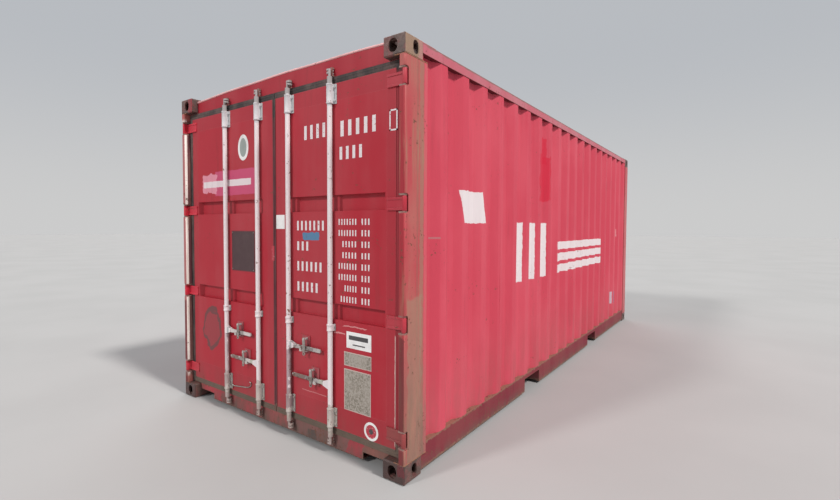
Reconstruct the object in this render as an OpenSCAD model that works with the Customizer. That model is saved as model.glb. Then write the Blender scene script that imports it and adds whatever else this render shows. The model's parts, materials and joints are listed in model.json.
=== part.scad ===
// Steel dry cargo container, 20 ft long, 8 ft wide, 8 ft 6 in high, with two hinged end doors.
// Millimetres. The origin is on the ground under the middle of the container.
// +Z is up, the doors face -Y and +X is the right side.

/* [Overall] */
// Outer length over the corner fittings
length_all = 6058; // [5000:1:12192]
// Outer width over the corner fittings
width_all = 2438; // [2190:1:2600]
// Outer height over the corner fittings
height_all = 2591; // [2330:1:2896]

/* [Corner fittings] */
// Length of a fitting along the container
fit_y = 178; // [170:1:190]
// Width of a fitting across the container
fit_x = 162; // [155:1:170]
// Height of a fitting
fit_z = 118; // [112:1:124]
// Wall of a fitting
fit_wall = 14; // [10:1:18]
// Thick plate that carries the locking slot
fit_plate = 28; // [24:1:31]
// Bevel of the outer edges
fit_edge = 7; // [3:0.5:8]
// Length of the top and bottom slots
slot_l = 124.5; // [118:0.5:130]
// Width of the top and bottom slots
slot_w = 63.5; // [58:0.5:68]
// Middle of a slot from the outer side
slot_x = 89; // [86:0.5:92]
// Middle of a slot from the outer end
slot_y = 101.5; // [98:0.5:105]
// Length of the side and end holes
hole_l = 79.5; // [74:0.5:82]
// Height of the side holes
hole_side = 51; // [47:0.5:56]
// Height of the end holes
hole_end = 63.5; // [58:0.5:66]

/* [Frame] */
// Width of a corner post seen from the end
post_w = 46; // [42:1:52]
// Steel of the posts
post_t = 6; // [5:0.5:7]
// Flange of a door post over the side wall
post_lap = 45; // [20:5:70]
// Outer radius of the bends of a door post
post_bend = 12; // [9:0.5:14]
// Recess of rails and walls behind the corner fittings
skin_in = 8; // [6:0.5:10]
// Bottom of the side rails above the ground
rail_z0 = 22; // [17:0.5:26]
// Height of the bottom side rails
rail_h = 158; // [150:1:170]
// Steel of the bottom side rails
rail_t = 4.5; // [4:0.1:5]
// Upper flange of the bottom side rails
rail_flange = 48; // [40:1:55]
// Lower flange of the bottom side rails
rail_foot = 30; // [25:1:35]
// Roof surface below the top of the fittings
roof_drop = 8; // [6:0.5:10]
// Size of the square roof rails
top_rail = 60; // [50:1:66]
// Steel of the roof rails
top_rail_t = 3; // [2.5:0.1:4]
// Roof rails stand this far out from the walls
top_rail_out = 4; // [2:0.5:5]
// Steel of the end beams
beam_t = 4; // [3:0.5:5]
// Depth of the front header
front_head = 60; // [50:1:66]
// Depth of the front sill
front_foot = 70; // [60:1:78]
// Underside of the door header below the top of the fittings
head_drop = 129; // [124:1:140]
// Face of the door sill above the ground
sill_top = 128; // [122:1:140]
// Depth of the door beams behind the stops
beam_back = 56; // [50:1:62]
// Height of the cut under each end of the door sill
sill_cut_h = 48; // [40:1:54]
// Length of the cut under each end of the door sill
sill_cut_l = 205; // [180:1:225]

/* [Walls] */
// Pitch of the troughs of a side wall
side_pitch = 284; // [256:1:312]
// Width of the bottom of a side trough
side_flat = 72; // [65:1:80]
// Width of a slope of a side trough
side_slope = 68; // [60:1:75]
// Depth of the side troughs
side_depth = 36; // [30:1:40]
// Flat of a side wall between the door post and its first trough
side_lead = 2; // [1:1:40]
// Pitch of the troughs of the front wall
front_pitch = 248; // [225:1:270]
// Width of the bottom of a front trough
front_flat = 108; // [95:1:118]
// Width of a slope of a front trough
front_slope = 18; // [15:1:20]
// Depth of the front troughs
front_depth = 45; // [38:1:50]
// Steel of the walls, the roof and the door panels
wall_t = 2; // [1.6:0.1:2.2]
// Pitch of the stamped troughs of the roof
roof_pitch = 228; // [205:1:250]
// Width of the bottom of a roof trough
roof_flat = 98; // [88:1:108]
// Width of a slope of a roof trough
roof_slope = 18; // [15:1:20]
// Depth of the roof troughs
roof_depth = 20; // [16:1:22]
// Flat border of the roof beside its troughs
roof_border = 75; // [65:1:85]
// Reach of the roof corner plates past the fittings
gusset = 140; // [125:1:155]
// Thickness of the roof corner plates
gusset_t = 3; // [2:0.5:4]

/* [Floor] */
// Top of the floor below the top of the bottom side rails
floor_drop = 10; // [6:1:14]
// Thickness of the floor boards
floor_t = 28; // [25:1:31]
// Width of the floor's centre rail
centre_w = 76; // [68:1:84]
// Distance of the fork pockets from the middle
pocket_y = 1025; // [925:5:1125]
// Width of a fork pocket
pocket_w = 360; // [345:1:375]
// Steel of the fork pockets
pocket_t = 5; // [4:0.5:6]
// Width of a cross member
member_w = 45; // [40:1:50]
// Pitch of the cross members between the fork pockets
member_mid = 262; // [236:1:272]
// Pitch of the cross members outside the fork pockets
member_end = 290; // [261:1:319]
// Middle of the first outer cross member from the edge of a fork pocket
member_off = 45; // [35:1:60]

/* [Doors] */
// Steel edge of a leaf from the outer side
leaf_side = 99; // [94:1:104]
// Steel edge of a leaf from the middle
leaf_mid = 14; // [12:0.5:16]
// Space above and below a leaf, covered by its seal
leaf_gap = 42; // [38:1:44]
// Face of the leaves behind the outer end
leaf_set = 46; // [45:0.5:48]
// Depth of a door leaf
leaf_d = 50; // [45:1:54]
// Space between a closed leaf and the stops behind it
stop_gap = 8; // [6:0.5:10]
// Overlap of the seal's back lip on the stops
stop_lap = 20; // [15:1:22]
// Steel of the leaf frames
leaf_t = 3.2; // [2.6:0.1:4]
// Width of the uprights of a leaf
stile_w = 70; // [62:1:76]
// Height of the bottom bar of a leaf
leaf_foot = 150; // [130:1:165]
// Height of the top bar of a leaf
leaf_head = 110; // [95:1:120]
// Lower edge of the lower pressed band
band_a = 892; // [870:1:960]
// Lower edge of the upper pressed band
band_b = 1600; // [1500:1:1700]
// Height of the pressed bands
band_h = 104; // [92:1:114]
// Depth of the pressed bands
band_d = 34; // [30:1:38]
// Half width of the shallow stretch of a band behind a bar
band_pad = 48; // [42:1:53]
// Length of the ramps in a band
band_ramp = 12; // [10:1:14]
// Start of a band before the inner bar
band_lead = 35; // [30:1:40]
// Space between a band and the outer upright of a leaf
band_gap = 10; // [6:1:14]
// Length of the outer end ramp of a band
band_end = 24; // [20:1:27]
// Width of the seal's front lip
lip_w = 45; // [43:0.5:46]
// Width of the seal's back lip
lip_back = 40; // [36:1:42]
// Thickness of the seal's lips
lip_t = 5; // [4:0.5:5.5]
// Thickness of the seal on the edge of a leaf
seal_t = 8; // [6:0.5:9]
// Reach of a seal towards the other leaf
seal_mid = 11; // [9:0.5:11.5]

/* [Hinges] */
// Middle of the lowest hinge above the bottom of a leaf
hinge_1 = 90; // [80:1:100]
// Middle of the second hinge above the bottom of a leaf
hinge_2 = 764; // [690:1:840]
// Middle of the third hinge below the top of a leaf
hinge_3 = 786; // [710:1:860]
// Middle of the highest hinge below the top of a leaf
hinge_4 = 70; // [65:1:78]
// Height of the pocket in the post for a hinge
notch_h = 112; // [108:1:120]
// Radius of the rounded corners of a pocket
notch_round = 14; // [11:1:15]
// Radius of a hinge pin
pin_r = 8; // [7:0.5:8.5]
// Middle of a pin from the outer side
pin_side = 15; // [15:0.25:16]
// Middle of a pin from the outer end
pin_end = 16; // [16:0.25:17]
// Radius of a hinge knuckle
knuckle_r = 13.5; // [12.5:0.25:14]
// Height of a hinge knuckle
knuckle_h = 86; // [80:1:90]
// Height of a hinge blade
blade_h = 76; // [68:1:84]
// Thickness of a hinge blade with its ribs
blade_t = 10; // [9:0.5:11]
// Height of the ribs of a hinge blade
blade_rib = 14; // [12:1:16]
// Reach of a hinge blade onto a leaf
blade_lap = 62; // [56:1:68]
// Thickness of the lugs that hold a pin
lug_t = 10; // [9:0.5:11]

/* [Locking gear] */
// Inner locking bar from the middle
bar_in = 177; // [160:1:195]
// Outer locking bar from the middle
bar_out = 595; // [565:1:620]
// Middle of the bars in front of the header and the sill
gear_out = 36; // [35:0.5:36.5]
// Radius of a locking bar
bar_r = 16.5; // [15:0.5:17.5]
// Wall of a locking bar
bar_t = 3.2; // [2.8:0.1:3.6]
// Radius of the neck between a bar and its cams
neck_r = 8; // [7:0.5:9]
// Length of the neck between a bar and its cams
neck_l = 20; // [17:0.5:22]
// Cams below the face edge of the sill
cam_low = 50; // [46:0.5:54]
// Cams above the lower edge of the header
cam_high = 35; // [33:0.5:40]
// Height of a cam over both of its prongs
cam_h = 30; // [27:0.5:32]
// Height of one prong of a cam
prong_h = 11; // [10:0.5:12]
// Front of a cam keeper behind the middle of its bar
keeper_y = 13; // [12.5:0.25:13.5]
// Thickness of a cam keeper
keeper_t = 6; // [5:0.25:6.5]
// Height of a cam keeper
keeper_h = 56; // [54:0.5:60]
// Width of a cam keeper
keeper_w = 16; // [14:0.5:17]
// Height of the end brackets of a bar
bracket_h = 126; // [114:1:138]
// Outer radius of a bracket's sleeve
sleeve_r = 22.5; // [21.5:0.25:22.75]
// Height of the collars on a bracket's sleeve
collar_h = 9; // [8:0.5:10]
// Half width of a bracket's flange
flange_w = 42; // [38:1:46]
// Thickness of the flanges and back plates
flange_t = 5; // [4.5:0.25:5.5]
// Low bracket above the bottom of a leaf
bracket_low = 10; // [8:1:12]
// Top bracket below the top of a leaf
bracket_top = 5; // [4:0.5:7]
// Bottom of the middle guides
guide_z = 818; // [800:1:832]
// Height of the middle guides
guide_h = 44; // [40:1:48]
// Clearance of turning parts in their bores
run = 0.5; // [0.4:0.05:0.6]
// Clearance of swinging parts from what they pass
swing = 5; // [5:0.25:6]

/* [Handles] */
// Height of the upper handles
handle_hi = 665; // [640:1:700]
// Height of the lower handles
handle_lo = 460; // [440:1:490]
// Reach of the upper handles from their bar
reach_hi = 330; // [300:1:350]
// Reach of the outer lower handle from its bar
reach_lo = 378; // [345:1:385]
// Reach of the inner lower handle from its bar
reach_mid = 358; // [330:1:385]
// Thickness of a handle
handle_t = 10; // [9:0.5:10.5]
// Height of a handle
handle_h = 26; // [24:1:28]
// Pivot of a handle from the middle of its bar
pivot_u = 42; // [40:0.5:44]
// Radius of a handle's pivot
pivot_r = 5; // [4.5:0.25:5.5]
// Radius of the eye of a handle
eye_r = 17; // [15:0.5:18]
// Height of a handle's hub at the bar
hub_h = 56; // [50:1:60]
// Thickness of a handle's hub
hub_t = 26; // [24:1:28]
// Side clearance of a handle in its hub
hub_run = 0.8; // [0.6:0.1:1]
// Middle of a catch from the bar
catch_u = 175; // [165:1:190]
// Pivot of a catch above its handle
catch_up = 62; // [56:1:68]
// Length of a catch below its handle
catch_tail = 50; // [45:1:55]
// Radius of the head of a catch
catch_r = 13; // [12:0.5:14]
// Radius of a catch's pivot
catch_pin = 4; // [3.5:0.25:4.5]
// Thickness of a catch
catch_t = 6; // [5:0.5:6.5]
// Width of the hook that holds a handle in
hook_w = 22; // [20:1:24]
// Height of the hook
hook_h = 13; // [11:0.5:13.5]
// Thickness of the hook and its shelf
hook_t = 7; // [6:0.5:7]
// Space between a handle and the shelf under it
hook_gap = 6; // [5:0.5:7]
// Space between a handle and the catch before it
catch_gap = 6; // [5.5:0.5:7]

/* [Hidden] */
hl = length_all / 2;
hw = width_all / 2;
px = hw - post_w;
ye = hl - fit_y;
xi = hw - fit_x;
fit_top = height_all - fit_z;
skin_x = hw - skin_in;
skin_y = hl - skin_in;
rail_x = skin_x - rail_t;
rail_z1 = rail_z0 + rail_h;
roof_z = height_all - roof_drop;
wall_z1 = roof_z - top_rail;
top_rail_x = skin_x + top_rail_out;
floor_z = rail_z1 - floor_drop;
member_z1 = floor_z - floor_t;
member_z0 = rail_z0 + rail_t;
pocket_top = member_z1 - pocket_t;
head_bot = height_all - head_drop;
pin_x = hw - pin_side;
pin_y = -hl + pin_end;
leaf_y0 = -hl + leaf_set;
leaf_y1 = leaf_y0 + leaf_d;
leaf_x0 = leaf_mid;
leaf_x1 = hw - leaf_side;
leaf_z0 = sill_top + leaf_gap;
leaf_z1 = head_bot - leaf_gap;
lip_y = leaf_y0 + 3;
stop_y = leaf_y1 + stop_gap;
back_y = stop_y + beam_back;
face_y = lip_y + lip_t + swing;
stop_x = leaf_x1 + lip_back - stop_lap;
stop_top = leaf_z1 + lip_back - stop_lap;
bar_y = face_y - gear_out;
cam_lo = sill_top - cam_low;
cam_hi = head_bot + cam_high;
back = leaf_y0 - bar_y;
catch_y0 = -handle_t / 2 - catch_gap - catch_t;
hinge_z = [leaf_z0 + hinge_1, leaf_z0 + hinge_2, leaf_z1 - hinge_3, leaf_z1 - hinge_4];
notch_y = leaf_y0 + swing;
notch_side = pin_y + knuckle_r + swing;
round_n = 48;

// A box between two corners
module box(a, b) {
  translate(a)
    cube(b - a);
}

// A child and its mirror image across the length
module both() {
  children();
  mirror([1, 0, 0])
    children();
}

// A straight pillar with a drawn outline, from z0 to z1
module pillar(z0, z1) {
  translate([0, 0, z0])
    linear_extrude(height = z1 - z0)
      children();
}

// An outline in Y and Z drawn along X, from x0 to x1
module along_x(x0, x1) {
  translate([x0, 0, 0])
    rotate([90, 0, 90])
      linear_extrude(height = x1 - x0)
        children();
}

// An outline in X and Z drawn along Y, from y0 to y1
module along_y(y0, y1) {
  translate([0, y1, 0])
    rotate([90, 0, 0])
      linear_extrude(height = y1 - y0)
        children();
}

// A round rod along Y
module rod_y(x, y0, y1, z, r) {
  translate([x, y0, z])
    rotate([-90, 0, 0])
      cylinder(h = y1 - y0, r = r, $fn = round_n);
}

// An oval bar along Z, used to cut slots
module oval(l, w, h) {
  translate([0, -(l - w) / 2, 0])
    cylinder(h = h, r = w / 2, $fn = round_n);
  translate([0, (l - w) / 2, 0])
    cylinder(h = h, r = w / 2, $fn = round_n);
  translate([-w / 2, -(l - w) / 2, 0])
    cube([w, l - w, h]);
}

// A rectangle with bevelled corners
module bevelled(a, b, e) {
  polygon([[a[0] + e, a[1]], [b[0] - e, a[1]], [b[0], a[1] + e], [b[0], b[1] - e],
    [b[0] - e, b[1]], [a[0] + e, b[1]], [a[0], b[1] - e], [a[0], a[1] + e]]);
}

// One hollow corner casting, for the right side of the door end, with its slot downwards
module fitting() {
  cx = hw - slot_x;
  cy = -hl + slot_y;
  difference() {
    intersection() {
      pillar(0, fit_z)
        bevelled([xi, -hl], [hw, -ye], fit_edge);
      along_x(xi, hw)
        bevelled([-hl, 0], [-ye, fit_z], fit_edge);
      along_y(-hl, -ye)
        bevelled([xi, 0], [hw, fit_z], fit_edge);
    }
    box([xi + fit_wall, -hl + fit_wall, fit_plate], [hw - fit_wall, -ye - fit_wall, fit_z - fit_wall]);
    translate([cx, cy, -1])
      oval(slot_l, slot_w, fit_plate + 2);
    translate([hw - fit_wall - 1, cy, fit_z / 2])
      rotate([0, 90, 0])
        rotate([0, 0, 90])
          oval(hole_l, hole_side, fit_wall + 2);
    translate([cx, -hl - 1, fit_z / 2])
      rotate([-90, 0, 0])
        oval(hole_l, hole_end, fit_wall + 2);
  }
}

// The two fittings of the door end
module fitting_pair() {
  both()
    fitting();
}

// Turns a bottom fitting over and lifts it to the top
module at_top() {
  translate([0, 0, height_all])
    mirror([0, 0, 1])
      children();
}

module corner_fittings_bottom() {
  color("#6b5650") {
    fitting_pair();
    mirror([0, 1, 0])
      fitting_pair();
  }
}

module corner_fittings_top_rear() {
  color("#6b5650")
    at_top()
      fitting_pair();
}

module corner_fittings_top_front() {
  color("#6b5650")
    at_top()
      mirror([0, 1, 0])
        fitting_pair();
}

// Outline of a door post with bent front edges, drawn r inside its outer face
module post_outline(t) {
  r = post_bend - t;
  difference() {
    translate([px + t, -hl + t])
      square([post_w - 2 * t, fit_y - 2 * t]);
    translate([px + t, -hl + t])
      square(r);
    translate([hw - t - r, -hl + t])
      square(r);
  }
  for (x = [px + t + r, hw - t - r])
    translate([x, -hl + t + r])
      circle(r = r, $fn = round_n);
}

// A pocket for one hinge: deep behind the front face, shallow with round corners in the outer side
module hinge_pocket(z) {
  box([px - 1, -hl - 1, z - notch_h / 2], [hw - post_t, notch_y, z + notch_h / 2]);
  along_x(hw - post_t, hw + 1) {
    translate([-hl - 1, z - notch_h / 2])
      square([notch_side - notch_round + hl + 1, notch_h]);
    translate([-hl - 1, z - notch_h / 2 + notch_round])
      square([notch_side + hl + 1, notch_h - 2 * notch_round]);
    for (s = [-1, 1])
      translate([notch_side - notch_round, z + s * (notch_h / 2 - notch_round)])
        circle(r = notch_round, $fn = round_n);
  }
}

// A corner post at the door end with pockets for the hinges and a stop bar for the door
module rear_post() {
  difference() {
    pillar(fit_z, fit_top)
      post_outline(0);
    pillar(fit_z - 1, fit_top + 1)
      post_outline(post_t);
    for (z = hinge_z)
      hinge_pocket(z);
  }
  for (z = hinge_z)
    box([px + post_t / 2, notch_y, z - notch_h / 2 - 2 * post_t],
      [hw - post_t / 2, notch_y + post_t, z + notch_h / 2 + 2 * post_t]);
  box([stop_x, stop_y, floor_z], [px + post_t / 2, back_y, stop_top]);
  box([skin_x, -ye - post_t / 2, fit_z], [hw, -ye + post_lap, fit_top]);
}

module post_rear_right() {
  color("#9c3a3f")
    rear_post();
}

module post_rear_left() {
  color("#9c3a3f")
    mirror([1, 0, 0])
      rear_post();
}

module posts_front() {
  color("#a83240")
    both()
      difference() {
        box([px, ye, fit_z], [hw, hl, fit_top]);
        box([px + post_t, ye + post_t, fit_z - 1], [hw - post_t, hl - post_t, fit_top + 1]);
      }
}

// A bottom side rail: a channel with the flanges inwards, cut for the fork pockets
module bottom_rail() {
  difference() {
    union() {
      box([rail_x, -ye, rail_z0], [skin_x, ye, rail_z1]);
      box([skin_x - rail_flange, -ye, rail_z1 - rail_t], [rail_x, ye, rail_z1]);
      box([skin_x - rail_foot, -ye, rail_z0], [rail_x, ye, rail_z0 + rail_t]);
    }
    for (s = [-1, 1])
      box([skin_x - rail_flange, s * pocket_y - pocket_w / 2, rail_z0 - 1],
        [skin_x + 1, s * pocket_y + pocket_w / 2, pocket_top]);
  }
}

module bottom_rails() {
  color("#6e2630")
    both()
      bottom_rail();
}

module top_rails() {
  color("#b23444")
    both()
      difference() {
        box([top_rail_x - top_rail, -ye, wall_z1], [top_rail_x, ye, roof_z]);
        box([top_rail_x + top_rail_t - top_rail, -ye - 1, wall_z1 + top_rail_t],
          [top_rail_x - top_rail_t, ye + 1, roof_z - top_rail_t]);
      }
}

// The head beam over the doors in section, with the stop behind the leaves
module head_outline(t) {
  polygon([[face_y + t, head_bot + t], [stop_y + t, head_bot + t], [stop_y + t, stop_top + t],
    [back_y - t, stop_top + t], [back_y - t, roof_z - t], [face_y + t, roof_z - t]]);
}

module door_header() {
  color("#b23444")
    difference() {
      along_x(-px, px)
        head_outline(0);
      along_x(-px - 1, px + 1)
        head_outline(beam_t);
      both()
        box([xi, face_y - 1, fit_top], [px + 1, back_y + 1, roof_z + 1]);
    }
}

// The sill under the doors in section, with the step behind the leaves
module sill_outline(t) {
  polygon([[face_y + t, rail_z0 + t], [back_y - t, rail_z0 + t], [back_y - t, floor_z - t],
    [stop_y + t, floor_z - t], [stop_y + t, sill_top - t], [face_y + t, sill_top - t]]);
}

module door_sill() {
  color("#9c3a3f")
    difference() {
      along_x(-px, px)
        sill_outline(0);
      along_x(-px - 1, px + 1)
        sill_outline(beam_t);
      both()
        box([xi, face_y - 1, 0], [px + 1, back_y + 1, fit_z]);
      both()
        box([xi - sill_cut_l, face_y - 1, 0], [xi + 1, back_y + 1, rail_z0 + sill_cut_h]);
    }
}

module front_header() {
  color("#a83240")
    difference() {
      box([-xi, skin_y - front_head, fit_top], [xi, skin_y, roof_z]);
      box([-xi - 1, skin_y - front_head + beam_t, fit_top + beam_t],
        [xi + 1, skin_y - beam_t, roof_z - beam_t]);
    }
}

module front_sill() {
  color("#a83240")
    difference() {
      box([-px, skin_y - front_foot, rail_z0], [px, skin_y, floor_z]);
      box([-px - 1, skin_y - front_foot + beam_t, rail_z0 + beam_t],
        [px + 1, skin_y - beam_t, floor_z - beam_t]);
      both()
        box([xi, skin_y - front_foot - 1, 0], [px + 1, skin_y + 1, fit_z]);
    }
}

// Corner points of n troughs in a row: how far along and how deep, for a flat bottom and its slopes
function crease(n, pitch, flat, slope, deep) = [for (i = [0 : n - 1]) for (k = [0 : 3])
  [pitch * (i + 0.5 - n / 2) + (k < 2 ? -1 : 1) * (flat / 2 + (k == 0 || k == 3 ? slope : 0)),
    k == 1 || k == 2 ? deep : 0]];

// A pressed sheet in section, its troughs moved along by at: its outer line and the same one thickness in
module sheet(n, pitch, flat, slope, deep, half, t, at = 0) {
  row = [for (p = crease(n, pitch, flat, slope, deep)) [p[0] + at, p[1]]];
  a = concat([[-half, 0]], row, [[half, 0]]);
  m = len(a);
  polygon(concat(a, [for (i = [0 : m - 1]) [a[m - 1 - i][0], a[m - 1 - i][1] + t]]));
}

module side_wall() {
  n = floor(2 * ye / side_pitch);
  crest = side_pitch - side_flat - 2 * side_slope;
  at = side_lead - ye + (n * side_pitch - crest) / 2;
  pillar(rail_z1, wall_z1)
    translate([skin_x, 0])
      rotate(90)
        sheet(n, side_pitch, side_flat, side_slope, side_depth, ye, wall_t, at);
}

module side_wall_right() {
  color("#b8303f")
    side_wall();
}

module side_wall_left() {
  color("#b8303f")
    mirror([1, 0, 0])
      side_wall();
}

module front_wall() {
  color("#b8303f")
    pillar(floor_z, fit_top)
      translate([0, skin_y])
        rotate(180)
          sheet(floor(2 * px / front_pitch), front_pitch, front_flat, front_slope, front_depth, px, wall_t);
}

// The stamped troughs of the roof, o larger on every side, each with four slopes
module roof_pans(o) {
  y0 = back_y + roof_border;
  y1 = skin_y - front_head - roof_border;
  x1 = top_rail_x - top_rail - roof_border;
  low = roof_z - roof_depth;
  half = roof_flat / 2;
  n = floor((y1 - y0) / roof_pitch);
  intersection() {
    along_x(-x1 - o, x1 + o)
      for (p = [for (i = [0 : n - 1]) (y0 + y1) / 2 + roof_pitch * (i - (n - 1) / 2)])
        polygon([[p - half - roof_slope - o, roof_z], [p - half - o, low - o], [p + half + o, low - o],
          [p + half + roof_slope + o, roof_z]]);
    along_y(y0, y1)
      polygon([[-x1 - o, roof_z], [roof_slope - x1 - o, low - o], [x1 - roof_slope + o, low - o],
        [x1 + o, roof_z]]);
  }
}

module roof_panel() {
  color("#b23444")
    difference() {
      union() {
        box([top_rail - top_rail_x, back_y, roof_z - wall_t],
          [top_rail_x - top_rail, skin_y - front_head, roof_z]);
        roof_pans(wall_t);
      }
      roof_pans(0);
      for (s = [-1, 1])
        both()
          box([xi, s > 0 ? ye : -hl, roof_z - top_rail], [hw, s > 0 ? hl : -ye, height_all]);
    }
}

module roof_corner_plates() {
  color("#a83240")
    for (s = [-1, 1])
      both()
        difference() {
          box([xi - gusset, s > 0 ? ye - gusset : stop_y, roof_z],
            [top_rail_x, s > 0 ? skin_y : -ye + gusset, roof_z + gusset_t]);
          box([xi, s > 0 ? ye : -hl, roof_z - 1], [hw, s > 0 ? hl : -ye, height_all]);
        }
}

// One channel-shaped cross member under the floor
module cross_member(y) {
  difference() {
    box([-rail_x, y - member_w / 2, member_z0], [rail_x, y + member_w / 2, member_z1]);
    box([-skin_x, y - member_w / 2 + beam_t, member_z0 + beam_t], [skin_x, y + member_w, member_z1 - beam_t]);
  }
}

module cross_members() {
  first = pocket_y + pocket_w / 2 + member_off;
  outer = floor((skin_y - front_foot - member_w - first) / member_end);
  inner = floor((pocket_y - pocket_w / 2 - pocket_t - member_w / 2) / member_mid);
  color("#5a3034") {
    for (s = [-1, 1])
      for (i = [0 : outer])
        cross_member(s * (first + member_end * i));
    for (i = [-inner : inner])
      cross_member(i * member_mid);
  }
}

module fork_pocket_liners() {
  color("#6e2630")
    for (s = [-1, 1])
      difference() {
        box([-rail_x, s * pocket_y - pocket_w / 2 - pocket_t, rail_z0 + rail_t],
          [rail_x, s * pocket_y + pocket_w / 2 + pocket_t, member_z1]);
        box([-skin_x, s * pocket_y - pocket_w / 2, 0], [skin_x, s * pocket_y + pocket_w / 2, pocket_top]);
      }
}

module floor_boards() {
  color("#8a6a48")
    both() {
      box([centre_w / 2, back_y, member_z1], [px, skin_y - front_foot, floor_z]);
      box([px, -ye, member_z1], [rail_x, ye, floor_z]);
    }
}

module floor_centre_rail() {
  color("#5a4a44")
    difference() {
      box([-centre_w / 2, back_y, member_z1], [centre_w / 2, skin_y - front_foot, floor_z]);
      box([-centre_w / 2 + beam_t, back_y - 1, member_z1 - 1],
        [centre_w / 2 - beam_t, skin_y, floor_z - beam_t]);
    }
}

// Outline of a hinge lug, round before the pin and ending at the post's outer side
module lug_outline() {
  intersection() {
    union() {
      translate([pin_x, pin_y])
        circle(r = knuckle_r, $fn = round_n);
      translate([px, pin_y - knuckle_r])
        square([pin_x - px, notch_y - pin_y + knuckle_r]);
      translate([pin_x, pin_y])
        square([knuckle_r, notch_y - pin_y]);
    }
    translate([px, -hl])
      square([post_w - post_t, fit_y]);
  }
}

// The two lugs and the pin of each hinge on a post
module lug_set() {
  for (z = hinge_z) {
    for (s = [-1, 1])
      translate([0, 0, z + s * (notch_h - lug_t) / 2])
        pillar(-lug_t / 2, lug_t / 2)
          lug_outline();
    translate([pin_x, pin_y, z - notch_h / 2 + 1])
      cylinder(h = notch_h - 2, r = pin_r, $fn = round_n);
  }
}

module hinge_lugs() {
  color("#8c6a60")
    both()
      lug_set();
}

// A keeper: an upright lug held off the face by two arms
module keeper(x, z) {
  w = keeper_w / 2;
  h = keeper_h / 2;
  y0 = bar_y + keeper_y;
  box([x - w, y0, z - h], [x + w, y0 + keeper_t, z + h]);
  for (s = [-1, 1])
    translate([0, 0, z + s * (h - w / 2)])
      box([x - w, y0 + keeper_t, -w / 2], [x + w, face_y, w / 2]);
}

module cam_keepers() {
  color("#8c4a4a")
    both()
      for (x = [bar_in, bar_out])
        for (z = [cam_lo, cam_hi])
          keeper(x, z);
}

// Welded frame of a leaf: two uprights and two bars, all hollow
module leaf_frame() {
  x2 = leaf_x0 + stile_w;
  x3 = leaf_x1 - stile_w;
  z2 = leaf_z0 + leaf_foot;
  z3 = leaf_z1 - leaf_head;
  difference() {
    box([leaf_x0, leaf_y0, leaf_z0], [leaf_x1, leaf_y1, leaf_z1]);
    box([x2, leaf_y0 - 1, z2], [x3, leaf_y1 + 1, z3]);
    for (x = [leaf_x0, x3])
      box([x + leaf_t, leaf_y0 + leaf_t, leaf_z0 + leaf_t],
        [x + stile_w - leaf_t, leaf_y1 - leaf_t, leaf_z1 - leaf_t]);
    box([x2, leaf_y0 + leaf_t, leaf_z0 + leaf_t], [x3, leaf_y1 - leaf_t, z2 - leaf_t]);
    box([x2, leaf_y0 + leaf_t, z3 + leaf_t], [x3, leaf_y1 - leaf_t, leaf_z1 - leaf_t]);
  }
}

module right_door_frame() {
  color("#b23444")
    leaf_frame();
}

module left_door_frame() {
  color("#b23444")
    mirror([1, 0, 0])
      leaf_frame();
}

// Outer line of a band in plan: deep between the bars, half deep behind each bar
function band_line() = let (a = bar_in - band_lead, b = leaf_x1 - stile_w - band_gap, h = band_d / 2)
  [[a, 0], [a + band_ramp, h], [bar_in + band_pad, h], [bar_in + band_pad + band_ramp, band_d],
    [bar_out - band_pad - band_ramp, band_d], [bar_out - band_pad, h], [bar_out + band_pad, h],
    [bar_out + band_pad + band_ramp, band_d], [b - band_end, band_d], [b, 0]];

// Body of a band, moved in by o and higher by o on both edges
module band(z, o) {
  a = band_line();
  translate([0, leaf_y0 + o, z - o])
    linear_extrude(height = band_h + 2 * o)
      polygon(concat(a, [[a[len(a) - 1][0], -4 - o], [a[0][0], -4 - o]]));
}

module leaf_panel() {
  x2 = leaf_x0 + stile_w;
  x3 = leaf_x1 - stile_w;
  difference() {
    union() {
      box([x2, leaf_y0, leaf_z0 + leaf_foot], [x3, leaf_y0 + wall_t, leaf_z1 - leaf_head]);
      for (z = [band_a, band_b])
        intersection() {
          band(z, wall_t);
          box([x2, leaf_y0, leaf_z0], [x3, leaf_y1, leaf_z1]);
        }
    }
    for (z = [band_a, band_b])
      band(z, 0);
  }
}

module right_door_panel() {
  color("#b8303f")
    leaf_panel();
}

module left_door_panel() {
  color("#b8303f")
    mirror([1, 0, 0])
      leaf_panel();
}

// Rubber seal round a leaf: a wide front lip, a body on the edge and a lip at the back
module leaf_seal() {
  difference() {
    union() {
      box([leaf_x0 - seal_mid, lip_y, leaf_z0 - lip_w], [leaf_x1 + lip_w, lip_y + lip_t, leaf_z1 + lip_w]);
      box([leaf_x0 - seal_t, lip_y, leaf_z0 - seal_t], [leaf_x1 + seal_t, leaf_y1, leaf_z1 + seal_t]);
      box([leaf_x0 - seal_t, leaf_y1 - lip_t, leaf_z0 - lip_back],
        [leaf_x1 + lip_back, leaf_y1, leaf_z1 + lip_back]);
    }
    box([leaf_x0, leaf_y0, leaf_z0], [leaf_x1, leaf_y1 + 1, leaf_z1]);
  }
}

module right_door_seal() {
  color("#3c3836")
    leaf_seal();
}

module left_door_seal() {
  color("#3c3836")
    mirror([1, 0, 0])
      leaf_seal();
}

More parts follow.
